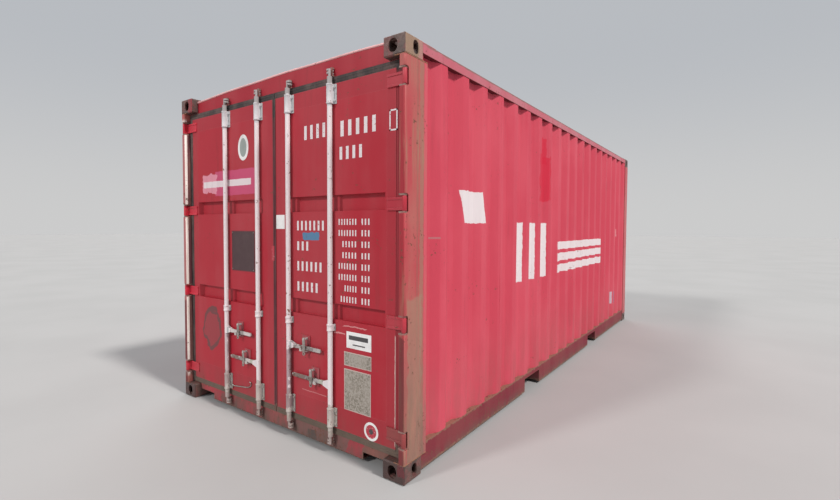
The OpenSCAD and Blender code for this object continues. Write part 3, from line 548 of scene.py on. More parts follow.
@dataclass
class Paints:
    """All finishes of the container, made once."""

    red: Colour = (0.55, 0.056, 0.090)
    red_faded: Colour = (0.61, 0.085, 0.122)
    door_red: Colour = (0.41, 0.014, 0.029)
    door_faded: Colour = (0.41, 0.040, 0.053)
    white: Colour = (0.76, 0.69, 0.70)
    aged_white: Colour = (0.72, 0.66, 0.67)
    inner: Colour = (0.42, 0.40, 0.37)
    bars: tuple[float, ...] = (-0.595, -0.177, 0.177, 0.595)
    made: dict[str, bpy.types.Material] = field(default_factory=dict)

    def build(self) -> None:
        """Writes every material under the name that the pieces ask for."""
        for finish in self.finishes():
            self.made[finish.name] = finish.build()

    def __getitem__(self, name: str) -> bpy.types.Material:
        """Gives a material by its name."""
        return self.made[name]

    def finishes(self) -> Iterable[Finish]:
        """Lists the finishes.

        Returns:
            One finish after another.
        """
        white, deep_red, wear_and_highlight_pink = self.white, (0.22, 0.010, 0.018), (0.78, 0.40, 0.40)
        # underside_shade is painted shade for faces that look down, under the header, the top rails and the
        # sill.
        brown, inner, underside_shade = (0.22, 0.11, 0.09), self.inner, (0.10, 0.010, 0.015)
        back, down = (0.0, 1.0, 0.0), (0.0, 0.0, -1.0)
        yield AgedPaint("wall_paint_outside", self.red, self.red_faded, fade=0.8, streak=0.25, chips=0.1,
                        dents=1.2, edges=0.1, grime=0.4, grime_top=0.9, grime_colour=(0.25, 0.115, 0.10),
                        rough=0.58, specular=0.22, marks=self.side_marks())
        yield AgedPaint("wall_paint_inside", inner, (0.50, 0.48, 0.45), chips=0.3, dents=0.6,
                        edge_colour=(0.25, 0.14, 0.1), grime=0.5, grime_top=1.2, edges=0.4)
        yield AgedPaint("roof_paint", (0.36, 0.030, 0.042), (0.43, 0.065, 0.075), fade=0.7, streak=0.1,
                        chips=0.9, grime=0.0, rough=0.6, edges=0.5, turned=((down, inner, 1.0),))
        yield AgedPaint("door_paint", self.door_red, self.door_faded, fade=0.9, streak=0.35, chips=0.05,
                        edges=0.25, edge_colour=deep_red, edge_reach=0.004, grime=0.35, grime_top=0.5,
                        marks=self.door_marks())
        yield AgedPaint("leaf_paint", (0.38, 0.020, 0.034), self.door_faded, fade=0.6, streak=0.4, chips=0.3,
                        edges=0.5, edge_colour=(0.52, 0.14, 0.15), grime=0.5, grime_top=0.45,
                        turned=((back, inner, 1.0),), marks=self.leaf_marks())
        # Header: its down faces take painted shade; its pink edges are partly wear and partly a painted
        # highlight along its lit top edge.
        yield AgedPaint("header_paint", (0.36, 0.012, 0.026), self.door_faded, fade=0.6, streak=0.5,
                        chips=0.3, edges=0.8, edge_colour=wear_and_highlight_pink, grime=0.0, turned=((down, underside_shade, 0.7),))
        yield AgedPaint("frame_paint", (0.45, 0.060, 0.075), (0.48, 0.11, 0.12), fade=0.9, streak=0.6,
                        chips=0.8, edges=1.0, edge_colour=brown, edge_reach=0.010, grime=0.3, grime_top=0.4)
        # Top rails: their down faces take painted shade, dark over the tops of the troughs.
        yield AgedPaint("top_rail_paint", (0.49, 0.115, 0.15), (0.49, 0.17, 0.20), fade=1.0, streak=0.5,
                        chips=0.6, edges=0.8, edge_colour=brown, edge_reach=0.008, grime=0.0, rough=0.55,
                        turned=((down, underside_shade, 0.97),), marks=self.top_rail_marks())
        yield AgedPaint("post_paint", (0.44, 0.058, 0.070), (0.42, 0.125, 0.108), fade=1.0, streak=0.95,
                        streak_colour=(0.34, 0.19, 0.13), streak_from=0.42, chips=0.6,
                        chip_colour=(0.15, 0.07, 0.045), edges=0.8, edge_colour=(0.52, 0.20, 0.20),
                        edge_reach=0.004, grime=0.9, grime_top=1.2, grime_colour=(0.20, 0.125, 0.095),
                        rough=0.6, marks=self.post_marks(), over=(self.corner_shade(),))
        # Sill: its down faces take painted shade.
        yield AgedPaint("sill_paint", (0.42, 0.034, 0.056), (0.38, 0.085, 0.085), fade=0.9, streak=0.9,
                        chips=1.2, edges=0.9, edge_colour=(0.20, 0.11, 0.08), edge_reach=0.010, grime=1.0,
                        grime_top=0.25, rough=0.65, turned=((down, underside_shade, 0.6),), marks=self.sill_marks())
        yield AgedPaint("rail_paint", (0.19, 0.016, 0.032), (0.22, 0.045, 0.050), fade=0.8, streak=0.7,
                        chips=1.1, edges=1.0, edge_colour=(0.26, 0.12, 0.08), edge_reach=0.010, grime=0.8,
                        grime_top=0.12, rough=0.65, marks=self.rail_marks())
        yield AgedPaint("member_paint", (0.10, 0.03, 0.03), (0.13, 0.06, 0.05), streak=0.5, chips=1.6,
                        grime=0.6, edges=0.6, edge_colour=(0.2, 0.1, 0.07), rough=0.8)
        yield AgedPaint("white_paint", white, (0.68, 0.60, 0.61), fade=0.6, streak=0.35,
                        streak_colour=(0.40, 0.28, 0.25), chips=0.5, chip_colour=(0.24, 0.13, 0.10),
                        edges=0.25, edge_colour=(0.48, 0.38, 0.36), edge_reach=0.004, grime=0.5,
                        grime_top=0.45, grime_colour=(0.33, 0.22, 0.18), rough=0.42, marks=self.bar_marks())
        yield AgedPaint("handle_paint", (0.60, 0.55, 0.53), (0.36, 0.32, 0.31), fade=0.9, streak=0.5,
                        streak_colour=(0.20, 0.13, 0.11), chips=1.3, chip_colour=(0.16, 0.10, 0.08),
                        edges=0.9, edge_colour=(0.30, 0.24, 0.21), edge_reach=0.004, grime=0.0, rough=0.5,
                        marks=self.handle_marks())
        yield AgedPaint("hinge_paint", (0.42, 0.024, 0.042), (0.48, 0.075, 0.09), fade=0.7, streak=0.5,
                        chips=0.7, edges=0.8, edge_colour=(0.62, 0.24, 0.25), edge_reach=0.003, grime=0.5,
                        grime_top=0.5, marks=self.hinge_marks())
        yield RustySteel("bare_casting", (0.060, 0.036, 0.032), (0.14, 0.082, 0.068), scrap_share=0.18,
                         marks=self.casting_marks())
        yield RustySteel("weld_steel", (0.13, 0.05, 0.03), (0.33, 0.16, 0.08), scrap_share=0.25, scale=20.0)
        yield RustySteel("worn_steel", (0.11, 0.055, 0.045), (0.34, 0.20, 0.17), scrap_share=0.6, scale=14.0)
        yield BrightSteel("plated_steel", (0.42, 0.40, 0.37), (0.13, 0.095, 0.08), stained=0.44)
        yield BrightSteel("zinc_plate", (0.40, 0.355, 0.31), (0.14, 0.12, 0.085), 95.0, 0.12, 0.42)
        yield Rubber("seal_rubber", marks=self.seal_marks())
        yield Rubber("seal_rib", (0.05, 0.038, 0.036), (0.17, 0.115, 0.10), self.seal_marks())
        yield Plywood("floor_timber")
        yield PlainCoat("stencil_white", white, self.door_red, wear=0.5, dirt=0.15)
        yield PlainCoat("label_white", (0.84, 0.82, 0.81), (0.55, 0.52, 0.5), wear=0.1, dirt=0.35)
        yield PlainCoat("label_grey", (0.30, 0.34, 0.32), (0.55, 0.52, 0.5), wear=0.1)
        yield PlainCoat("label_dark", (0.06, 0.055, 0.06), (0.5, 0.47, 0.46), wear=0.3)
        yield PlainCoat("label_red", (0.45, 0.03, 0.05), (0.75, 0.45, 0.47), wear=0.5, speck=90.0)
        yield PlainCoat("holder_red", (0.20, 0.012, 0.020), (0.12, 0.05, 0.04), wear=0.3)
        yield PlainCoat("holder_pale", (0.56, 0.43, 0.39), (0.30, 0.05, 0.06), wear=0.45)
        yield PlainCoat("dark_plate", (0.058, 0.024, 0.028), (0.16, 0.11, 0.09), wear=0.1, dirt=0.12)
        # The pale pink of the header's lip is a painted highlight.
        yield PlainCoat("lip_highlight_pink", wear_and_highlight_pink, (0.35, 0.13, 0.11), wear=0.45, dirt=0.4)
        yield StudioFloor()

    def door_marks(self) -> tuple[Mark, ...]:
        """Gives the painted band, the rubbed ring and the scratches of the doors."""
        magenta, pale, rubbed = (0.56, 0.075, 0.17), (0.74, 0.30, 0.38), (0.12, 0.052, 0.052)
        front, scratch = (2.975, 3.1), (0.66, 0.30, 0.30)
        return (
            end_mark((-0.50, 1.848), (0.28, 0.102), magenta, 0.9, 0.015, depth=front),
            end_mark((-0.86, 1.852), (0.108, 0.080), pale, 0.85, 0.07, 30.0, depth=front),
            end_mark((-0.62, 1.846), (0.34, 0.026), self.white, 0.9, 0.012, 60.0, depth=front),
            Mark(Shape.OVAL, Side.END, (-0.850, 0.640), (0.115, 0.155), (0.27, 0.048, 0.056), 0.7, 0.12, 11.0,
                 depth=front),
            Mark(Shape.RING, Side.END, (-0.850, 0.640), (0.118, 0.160), rubbed, 0.85, 0.12, 11.0, 0.11,
                 depth=front),
            end_mark((0.385, 1.433), (0.085, 0.026), (0.065, 0.22, 0.37), 0.92, 0.03, depth=front),
            end_mark((0.80, 0.862), (0.10, 0.004), scratch, 0.8, 0.02, lean=2.0, depth=front),
            end_mark((0.66, 0.808), (0.05, 0.005), scratch, 0.8, 0.02, depth=front),
            end_mark((0.42, 0.36), (0.14, 0.003), scratch, 0.5, 0.02, lean=3.0, depth=front),
        )

    def side_marks(self) -> tuple[Mark, ...]:
        """Gives the plain white livery, the touched-up patch and the scuffs of the long sides."""
        white, fresh, pale = self.aged_white, (0.56, 0.012, 0.040), (0.66, 0.30, 0.32)
        stripes = [
            side_mark((0.59, height), (0.97, 0.042), white, 0.95, 0.018)
            for height in (1.31, 1.19, 1.07)
        ]
        bars = [
            side_mark((place, 1.28), (0.085, 0.265), white, 0.97, 0.02)
            for place in (-1.34, -1.05, -0.76)
        ]
        return (
            side_mark((-0.76, 2.23), (0.08, 0.13), fresh, 0.75, 0.12, 9.0, right_only=True),
            side_mark((-0.75, 1.97), (0.15, 0.22), fresh, 0.8, 0.12, 9.0, right_only=True),
            side_mark((-2.195, 1.64), (0.165, 0.115), white, 0.97, 0.02, lean=-0.25),
            *bars,
            *stripes,
            side_mark((2.13, 0.46), (0.040, 0.09), (0.50, 0.52, 0.58), 0.75, 0.02, right_only=True),
            side_mark((2.27, 0.46), (0.040, 0.09), (0.16, 0.19, 0.33), 0.7, 0.02, right_only=True),
            side_mark((2.42, 1.42), (0.012, 0.06), pale, 0.7, 0.03, right_only=True),
            side_mark((0.67, 1.99), (0.008, 0.08), pale, 0.6, 0.03, right_only=True),
            side_mark((-2.68, 1.43), (0.045, 0.006), (0.36, 0.20, 0.20), 0.6, right_only=True),
        )

    def post_marks(self) -> tuple[Mark, ...]:
        """Gives the weathered faces of the door posts, a near-white painted highlight on the strips inside
        them and painted shade behind it.
        """
        inner, outer, face = (1.16, 1.1745), (1.20, 1.23), (3.0265, 3.04)
        red, brown = (0.33, 0.016, 0.028), (0.21, 0.115, 0.085)
        return (
            # Painted shade: a dark strip deeper in on the inner faces of the posts, behind the seal.
            side_mark((-2.97, 1.3), (0.036, 1.14), (0.10, 0.035, 0.045), 0.9, 0.0, depth=inner),
            # Painted highlight: a near-white strip of light on the inner faces of the posts and on the front
            # of the left post.
            side_mark((-3.018, 1.3), (0.012, 1.14), (0.92, 0.88, 0.82), 0.95, 0.0, depth=inner),
            end_mark((-1.185, 1.3), (0.030, 1.14), (0.90, 0.86, 0.80), 0.95, 0.008, depth=(3.016, 3.04)),
            side_mark((-2.905, 1.3), (0.010, 1.2), brown, 0.35, 0.03, depth=outer),
            side_mark((-2.862, 1.3), (0.020, 1.2), (0.33, 0.15, 0.115), 0.75, 0.03, depth=outer),
            side_mark((-2.822, 1.3), (0.016, 1.2), self.red_faded, 0.8, 0.01, depth=outer),
            side_mark((-2.93, 0.60), (0.07, 0.50), (0.31, 0.20, 0.14), 0.55, 0.12, 7.0, depth=outer),
            end_mark((0.0, 1.3), (1.3, 1.1), red, 0.85, 0.06, depth=face),
        )

    def corner_shade(self) -> Mark:
        """Gives the dark, brownish colour low on the fronts of the door posts: partly grime, partly painted
        shade.
        """
        return end_mark((0.0, 0.46), (1.3, 0.40), (0.13, 0.020, 0.024), 0.75, 0.2, 6.0, depth=(3.0265, 3.04))

    def casting_marks(self) -> tuple[Mark, ...]:
        """Gives the tan sides of the upper castings, the paint that ran on them, and the dark fronts of the
        lower castings, partly rust and partly painted shade.
        """
        tan, over, run, face = (0.36, 0.23, 0.15), (1.2165, 1.3), (0.26, 0.030, 0.038), (3.02, 3.1)
        return (
            side_mark((-2.95, 2.53), (0.13, 0.08), tan, 0.75, 0.05, depth=over),
            side_mark((-2.87, 2.53), (0.03, 0.08), (0.42, 0.19, 0.17), 0.8, 0.08, depth=over),
            end_mark((-1.085, 2.53), (0.03, 0.08), run, 0.85, 0.04, depth=face),
            end_mark((1.085, 2.53), (0.03, 0.08), run, 0.2, 0.06, depth=face),
            # Dark lower castings: rust, darkened further as painted shade.
            end_mark((0.0, 0.055), (1.3, 0.065), (0.050, 0.026, 0.024), 0.75, 0.05, depth=face),
            end_mark((1.195, 0.09), (0.025, 0.05), (0.13, 0.02, 0.026), 0.8, 0.05, depth=face),
        )

    def seal_marks(self) -> tuple[Mark, ...]:
        """Gives the red overspray on the upright bands of the door seals."""
        spray, front, middle = (0.31, 0.018, 0.030), (2.9, 3.1), (0.13, 0.016, 0.026)
        return (
            end_mark((1.145, 1.3), (0.035, 1.12), spray, 0.9, 0.02, depth=front),
            end_mark((0.0, 1.2), (0.03, 1.1), middle, 0.65, 0.02, depth=front),
            end_mark((0.0, 0.15), (1.16, 0.05), (0.15, 0.105, 0.075), 0.7, 0.08, depth=front),
        )

    def sill_marks(self) -> tuple[Mark, ...]:
        """Gives the brown right part of the sill and the dark patch by a keeper."""
        front = (2.9, 3.1)
        return (
            end_mark((0.42, 0.09), (0.30, 0.12), (0.19, 0.11, 0.10), 0.75, 0.14, 12.0, depth=front),
            end_mark((-0.35, 0.05), (0.40, 0.05), (0.19, 0.08, 0.07), 0.4, 0.14, 9.0, depth=front),
            end_mark((1.02, 0.10), (0.16, 0.07), (0.20, 0.115, 0.085), 0.75, 0.14, 16.0, depth=front),
            end_mark((0.378, 0.055), (0.045, 0.032), (0.06, 0.055, 0.055), 0.9, 0.02, depth=front),
            end_mark((0.0, 0.012), (1.06, 0.012), (0.12, 0.085, 0.065), 0.9, 0.03, 30.0, depth=front),
        )

    def leaf_marks(self) -> tuple[Mark, ...]:
        """Gives the grey insides of the door frames and the edge that is rubbed bright low down."""
        return (
            end_mark((0.0, 1.295), (1.112, 1.118), self.inner, depth=(0.0, 2.978)),
            end_mark((1.1185, 0.52), (0.0045, 0.34), (0.66, 0.46, 0.42), 0.9, 0.008, 40.0),
        )

    def hinge_marks(self) -> tuple[Mark, ...]:
        """Gives the left hinges a brighter red as a painted highlight, and the foot of the right ones rust
        darkened partly as painted shade.
        """
        return (
            # Painted highlight: the left hinges are brighter red where light falls on them.
            end_mark((-1.14, 1.3), (0.10, 1.3), (0.60, 0.026, 0.052), 0.75, 0.03),
            # The foot of the right hinges: rust, darkened partly as painted shade.
            end_mark((1.14, 0.26), (0.10, 0.10), (0.22, 0.065, 0.055), 0.6, 0.12),
        )

    def handle_marks(self) -> tuple[Mark, ...]:
        """Gives the brown ends of the lower handles, the green-grey hubs and the grime by the catches."""
        brown, hub, dark = (0.17, 0.11, 0.09), (0.46, 0.47, 0.38), (0.13, 0.11, 0.105)
        lower = [end_mark((x, 0.48), (0.055, 0.10), brown, 0.85, 0.06) for x in (-0.475, 0.30)]
        hubs = [end_mark((x, 0.48), (0.06, 0.10), hub, 0.7, 0.06) for x in (-0.22, 0.55)]
        grime = [end_mark((x, 0.57), (0.035, 0.2), dark, 0.6, 0.10, 40.0) for x in (-0.386, 0.386)]
        return (*lower, *hubs, *grime)

    def top_rail_marks(self) -> tuple[Mark, ...]:
        """Gives the rusty upper border of the top rails."""
        return (side_mark((0.0, 2.583), (2.9, 0.010), (0.26, 0.13, 0.12), 0.85, 0.02, 18.0),)

    def rail_marks(self) -> tuple[Mark, ...]:
        """Gives the rusty upper and lower borders of the bottom rails."""
        rust = (0.25, 0.13, 0.09)
        return (
            side_mark((0.0, 0.178), (2.9, 0.010), rust, 0.8, 0.05),
            side_mark((0.0, 0.026), (2.9, 0.010), rust, 0.8, 0.05),
        )

    def bar_marks(self) -> tuple[Mark, ...]:
        """Gives the worn ends of the locking bars and the grey plates of their brackets."""
        worn, plate, red = (0.24, 0.18, 0.155), (0.30, 0.34, 0.33), (0.34, 0.016, 0.028)
        tops = [end_mark((x, 2.37), (0.06, 0.10), (0.46, 0.48, 0.50), 0.6, 0.05) for x in self.bars]
        ends = [end_mark((x, 2.475), (0.035, 0.060), (0.27, 0.25, 0.24), 0.75, 0.05) for x in self.bars]
        feet = [end_mark((x, 0.10), (0.035, 0.06), worn, 0.7, 0.04) for x in self.bars]
        plates = [end_mark((x + 0.034, 1.3), (0.011, 1.3), plate, 0.8, 0.004) for x in self.bars]
        stains = [end_mark((x, 0.24), (0.05, 0.10), (0.38, 0.36, 0.31), 0.7, 0.14, 30.0) for x in self.bars]
        rubbed = [end_mark((x, 0.42), (0.03, 0.22), (0.28, 0.18, 0.20), cover, 0.14)
                  for x, cover in ((self.bars[0], 0.45), (self.bars[2], 0.75))]
        backs = [end_mark((s * 0.386, 0.57), (0.090, 0.27), red, 0.92, 0.0, depth=(2.97, 2.9885))
                 for s in (-1, 1)]
        hooks = [end_mark((s * 0.386, 0.57), (0.090, 0.27), (0.42, 0.39, 0.36), 0.8, depth=(2.9885, 3.1))
                 for s in (-1, 1)]
        return (*plates, *tops, *ends, *feet, *stains, *rubbed, *backs, *hooks)


@dataclass(frozen=True)
class Box:
    """Lowest and highest corner of a piece, in metres."""

    low: Vector
    high: Vector

    @property
    def middle(self) -> Vector:
        """Middle of the box."""
        return (self.low + self.high) / 2


class Frame:
    """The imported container: its nodes, joints and the boxes of their solids."""

    def __init__(self, loaded: dict) -> None:
        """Keeps what the loader gave.

        Args:
            loaded: The loader's result.
        """
        self.nodes = loaded["nodes"]
        self.joints = {j["name"]: j for j in loaded["joints"]}

    def box(self, node: str) -> Box:
        """Gives the box of a node."""
        return Box(*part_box(node))

    def pivot(self, joint: str) -> Vector:
        """Gives a point on the axis of a joint."""
        return Vector(self.joints[joint]["pos_m"])

    def solids(self, node: str) -> list[Box]:
        """Finds the separate solids of a node.

        Args:
            node: The node's name.

        Returns:
            One box for each solid, from the lowest up.
        """
        mesh = bmesh.new()
        mesh.from_mesh(self.nodes[node].data)
        bmesh.ops.remove_doubles(mesh, verts=mesh.verts, dist=1e-6)
        left, found = set(mesh.verts), []
        while left:
            group, edge = set(), {left.pop()}
            while edge:
                group |= edge
                edge = {e.other_vert(v) for v in edge for e in v.link_edges} - group
            left -= group
            low = Vector([min(v.co[i] for v in group) for i in range(3)])
            high = Vector([max(v.co[i] for v in group) for i in range(3)])
            found.append(Box(low, high))
        mesh.free()
        return sorted(found, key=lambda b: (round(b.low.z, 3), b.low.x))


def add_piece(name: str, mesh: bmesh.types.BMesh,
              material: bpy.types.Material | None = None) -> bpy.types.Object:
    """Turns a mesh in the container's own frame into an object at the origin.

    Args:
        name: The piece's name.
        mesh: The mesh, which is used up.
        material: Its finish, if it has one already.

    Returns:
        The new object.
    """
    data = bpy.data.meshes.new(name)
    mesh.to_mesh(data)
    mesh.free()
    if material:
        data.materials.append(material)
    piece = bpy.data.objects.new(name, data)
    bpy.context.scene.collection.objects.link(piece)
    return piece


def dress(piece: bpy.types.Object, body: str) -> bpy.types.Object:
    """Lets a piece ride on a body and logs it.

    Args:
        piece: The piece.
        body: The body's name.

    Returns:
        The piece.
    """
    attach(piece, body)
    LOG.info("%s rides on %s: %d faces", piece.name, body, len(piece.data.polygons))
    return piece


def add_block(mesh: bmesh.types.BMesh, low: Point, high: Point, bevel: float = 0.0) -> None:
    """Adds a block with softened edges to a mesh.

    Args:
        mesh: The mesh to add to.
        low: Lowest corner.
        high: Highest corner.
        bevel: Width of the softened edges.
    """
    made = bmesh.ops.create_cube(mesh, size=1.0)["verts"]
    size = [high[i] - low[i] for i in range(3)]
    for v in made:
        v.co = Vector([low[i] + (v.co[i] + 0.5) * size[i] for i in range(3)])
    if bevel:
        edges = {e for v in made for e in v.link_edges}
        bmesh.ops.bevel(mesh, geom=list(edges), offset=bevel, segments=2, profile=0.5, affect="EDGES")


class Recipe(NodeWriter):
    """A geometry tree with named inputs, run once on an object to make a plain mesh."""

    def __init__(self, name: str) -> None:
        """Starts the tree with its geometry input.

        Args:
            name: The tree's name.
        """
        super().__init__(bpy.data.node_groups.new(name, "GeometryNodeTree"))
        self.tree.interface.new_socket("Geometry", in_out="INPUT", socket_type="NodeSocketGeometry")
        self.tree.interface.new_socket("Geometry", in_out="OUTPUT", socket_type="NodeSocketGeometry")
        self.given = self.tree.nodes.new("NodeGroupInput")
        self.ids: dict[str, str] = {}

    def input(self, name: str, kind: str = "Float") -> Socket:
        """Adds a named input.

        Args:
            name: The input's name.
            kind: Float, Int, Vector or Material.

        Returns:
            Its socket inside the tree.
        """
        item = self.tree.interface.new_socket(name, in_out="INPUT", socket_type=f"NodeSocket{kind}")
        self.ids[name] = item.identifier
        return self.given.outputs[name]

    def close(self, geometry: Socket, *materials: tuple[Socket, Socket | bool]) -> None:
        """Ends the tree: realized, with its materials set.

        Args:
            geometry: What the tree has made.
            materials: Each material's socket with the faces that get it.
        """
        geometry = self.out("GeometryNodeRealizeInstances", {"Geometry": geometry})
        for material, faces in materials:
            inputs = {"Geometry": geometry, "Selection": faces, "Material": material}
            geometry = self.out("GeometryNodeSetMaterial", inputs)
        end = self.tree.nodes.new("NodeGroupOutput")
        self.tree.links.new(geometry, end.inputs[0])

    def run(self, piece: bpy.types.Object, sharp: float = 0.0, **values: Given) -> bpy.types.Object:
        """Runs the tree on an object and keeps the result as its plain mesh.

        Args:
            piece: The object, whose mesh is the tree's starting geometry.
            sharp: Angle in degrees above which an edge stays sharp, or 0 for flat faces.
            values: The inputs, with spaces in a name written as underscores.

        Returns:
            The same object with its new mesh and no modifier.
        """
        modifier = piece.modifiers.new(self.tree.name, "NODES")
        modifier.node_group = self.tree
        for name, value in values.items():
            modifier[self.ids[name.replace("_", " ").capitalize()]] = value
        graph = bpy.context.evaluated_depsgraph_get()
        mesh = bpy.data.meshes.new_from_object(piece.evaluated_get(graph), preserve_all_data_layers=True,
                                               depsgraph=graph)
        piece.modifiers.clear()
        piece.data = mesh
        mesh.name = piece.name
        if sharp:
            mesh.shade_smooth()
            mesh.set_sharp_from_angle(angle=math.radians(sharp))
        return piece


class PressedSheetRecipe(Recipe):
    """A steel sheet with a row of pressed troughs, standing upright."""

    def __init__(self) -> None:
        """Writes the tree."""
        super().__init__("pressed_sheet")
        count, pitch, flat = self.input("Count", "Int"), self.input("Pitch"), self.input("Flat")
        slope, deep, half = self.input("Slope"), self.input("Deep"), self.input("Half")
        tall, thick, bend = self.input("Tall"), self.input("Thick"), self.input("Bend")
        shift = self.input("Shift")
        dent, place = self.input("Dent"), self.input("Place", "Vector")
        turn = self.input("Turn", "Vector")
        outside, inside = self.input("Outside", "Material"), self.input("Inside", "Material")
        bends = self.math("MULTIPLY_ADD", count, 4.0, 2.0)
        line = self.out("GeometryNodeMeshLine", {"Count": bends, "Offset": (0.0, 0.001, 0.0)}, mode="OFFSET")
        index = self.out("GeometryNodeInputIndex")
        corner = self.math("SUBTRACT", index, 1.0)
        trough = self.math("FLOOR", self.math("DIVIDE", corner, 4.0))
        step = self.math("FLOORED_MODULO", corner, 4.0)
        wide = self.math("GREATER_THAN", self.math("ABSOLUTE", self.math("SUBTRACT", step, 1.5)), 1.0)
        sign = self.math("SIGN", self.math("SUBTRACT", step, 1.5))
        middle = self.math("SUBTRACT", self.math("ADD", trough, 0.5), self.math("DIVIDE", count, 2.0))
        reach = self.math("MULTIPLY_ADD", wide, slope, self.math("DIVIDE", flat, 2.0))
        along = self.math("MULTIPLY_ADD", middle, pitch, self.math("MULTIPLY_ADD", sign, reach, shift))
        along = self.math("MINIMUM", self.math("MAXIMUM", along, self.math("MULTIPLY", half, -1.0)), half)
        first = self.math("LESS_THAN", index, 0.5)
        last = self.math("GREATER_THAN", index, self.math("SUBTRACT", bends, 1.5))
        end = self.math("MAXIMUM", first, last)
        ends = self.math("MULTIPLY", self.math("SUBTRACT", last, first), half)
        along = self.math("MULTIPLY_ADD", self.math("SUBTRACT", 1.0, end), along, ends)
        level = self.math("MAXIMUM", wide, end)
        inward = self.chain("MULTIPLY", self.math("SUBTRACT", level, 1.0), deep)
        spot = self.vector(inward, along, 0.0)
        line = self.out("GeometryNodeSetPosition", {"Geometry": line, "Position": spot})
        path = self.out("GeometryNodeMeshToCurve", {"Mesh": line})
        inputs = {"Curve": path, "Count": 3, "Radius": bend, "Limit Radius": True}
        path = self.out("GeometryNodeFilletCurve", inputs, mode="POLY")
        path = self.out("GeometryNodeSetCurveNormal", {"Curve": path}, mode="Z_UP")
        section = self.out("GeometryNodeCurvePrimitiveQuadrilateral", {"Width": thick, "Height": tall})
        section = self.out("GeometryNodeSubdivideCurve", {"Curve": section, "Cuts": 13})
        inputs = {"Curve": path, "Profile Curve": section, "Fill Caps": True}
        sheet = self.out("GeometryNodeCurveToMesh", inputs)
        where = self.split(self.out("GeometryNodeInputPosition"))
        cloud = self.out("ShaderNodeTexNoise", {"Scale": 1.4, "Detail": 2.0})
        free = self.rise(self.math("ABSOLUTE", where[2]), self.math("MULTIPLY", tall, 0.5),
                         self.math("MULTIPLY_ADD", tall, 0.5, -0.2))
        clear = self.rise(self.math("ABSOLUTE", where[1]), half, self.math("SUBTRACT", half, 0.2))
        push = self.chain("MULTIPLY", self.math("SUBTRACT", cloud, 0.5), dent, free, clear)
        sheet = self.out("GeometryNodeSetPosition",
                         {"Geometry": sheet, "Offset": self.vector(push, 0.0, 0.0)})
        normal = self.split(self.out("GeometryNodeInputNormal"))[0]
        out_there = self.math("GREATER_THAN", normal, -0.05)
        sheet = self.out("GeometryNodeSetMaterial", {"Geometry": sheet, "Material": inside})
        sheet = self.out("GeometryNodeSetMaterial",
                         {"Geometry": sheet, "Selection": out_there, "Material": outside})
        rotation = self.out("FunctionNodeEulerToRotation", {0: turn})
        sheet = self.out("GeometryNodeTransform", {"Geometry": sheet, "Translation": place,
                                                   "Rotation": rotation})
        self.tree.links.new(self.out("GeometryNodeRealizeInstances", {"Geometry": sheet}),
                            self.tree.nodes.new("NodeGroupOutput").inputs[0])


class BoltRecipe(Recipe):
    """A hexagon head on a washer at each point, turned at random."""

    def __init__(self) -> None:
        """Writes the tree."""
        super().__init__("bolts")
        size, facing, seed = self.input("Size"), self.input("Facing", "Vector"), self.input("Seed", "Int")
        sides, finish = self.input("Sides", "Int"), self.input("Finish", "Material")
        thin = self.math("MULTIPLY", size, 0.12)
        inputs = {"Vertices": 16, "Radius": self.math("MULTIPLY", size, 0.62),
                  "Depth": self.math("MULTIPLY", thin, 2.0)}
        washer = self.out("GeometryNodeMeshCylinder", inputs)
        tall = self.math("MULTIPLY", size, 0.42)
        inputs = {"Vertices": sides, "Radius": self.math("MULTIPLY", size, 0.5), "Depth": tall}
        head = self.out("GeometryNodeMeshCylinder", inputs)
        lift = self.vector(0.0, 0.0, self.math("MULTIPLY_ADD", tall, 0.5, thin))
        head = self.out("GeometryNodeTransform", {"Geometry": head, "Translation": lift})
        bolt = self.node("GeometryNodeJoinGeometry")
        self.tree.links.new(washer, bolt.inputs[0])
        self.tree.links.new(head, bolt.inputs[0])
        aim = self.out("FunctionNodeAlignRotationToVector", {"Vector": facing}, axis="Z")
        spin = self.node("FunctionNodeRandomValue", {"Max": 1.0, "Seed": seed}, data_type="FLOAT")
        spin.inputs[3].default_value = math.tau
        turn = self.out("FunctionNodeAxisAngleToRotation",
                        {"Axis": (0.0, 0.0, 1.0), "Angle": spin.outputs[1]})
        aim = self.out("FunctionNodeRotateRotation", {0: aim, 1: turn}, rotation_space="LOCAL")
        points = self.out("GeometryNodeMeshToPoints", {"Mesh": self.given.outputs[0]})
        inputs = {"Points": points, "Instance": bolt.outputs[0], "Rotation": aim}
        self.close(self.out("GeometryNodeInstanceOnPoints", inputs), (finish, True))


class BeadRecipe(Recipe):
    """A round bead along each line of edges, rippled as a weld is or plain."""

    def __init__(self) -> None:
        """Writes the tree."""
        super().__init__("beads")
        size, step, ripple = self.input("Size"), self.input("Step"), self.input("Ripple")
        finish = self.input("Finish", "Material")
        path = self.out("GeometryNodeMeshToCurve", {"Mesh": self.given.outputs[0]})
        path = self.out("GeometryNodeResampleCurve", {"Curve": path, "Length": step}, mode="LENGTH")
        index = self.out("GeometryNodeInputIndex")
        wave = self.math("SINE", self.math("MULTIPLY", index, 2.1))
        cloud = self.math("SUBTRACT", self.out("ShaderNodeTexNoise", {"Scale": 30.0}), 0.5)
        swell = self.math("MULTIPLY", self.math("ADD", wave, cloud), ripple)
        width = self.math("MULTIPLY_ADD", swell, size, size)
        ring = self.out("GeometryNodeCurvePrimitiveCircle", {"Resolution": 6, "Radius": 1.0})
        inputs = {"Curve": path, "Profile Curve": ring, "Scale": width, "Fill Caps": True}
        self.close(self.out("GeometryNodeCurveToMesh", inputs), (finish, True))


def point_cloud(name: str, points: Iterable[Point]) -> bpy.types.Object:
    """Makes an object of loose points for a recipe."""
    mesh = bmesh.new()
    for point in points:
        mesh.verts.new(point)
    return add_piece(name, mesh)


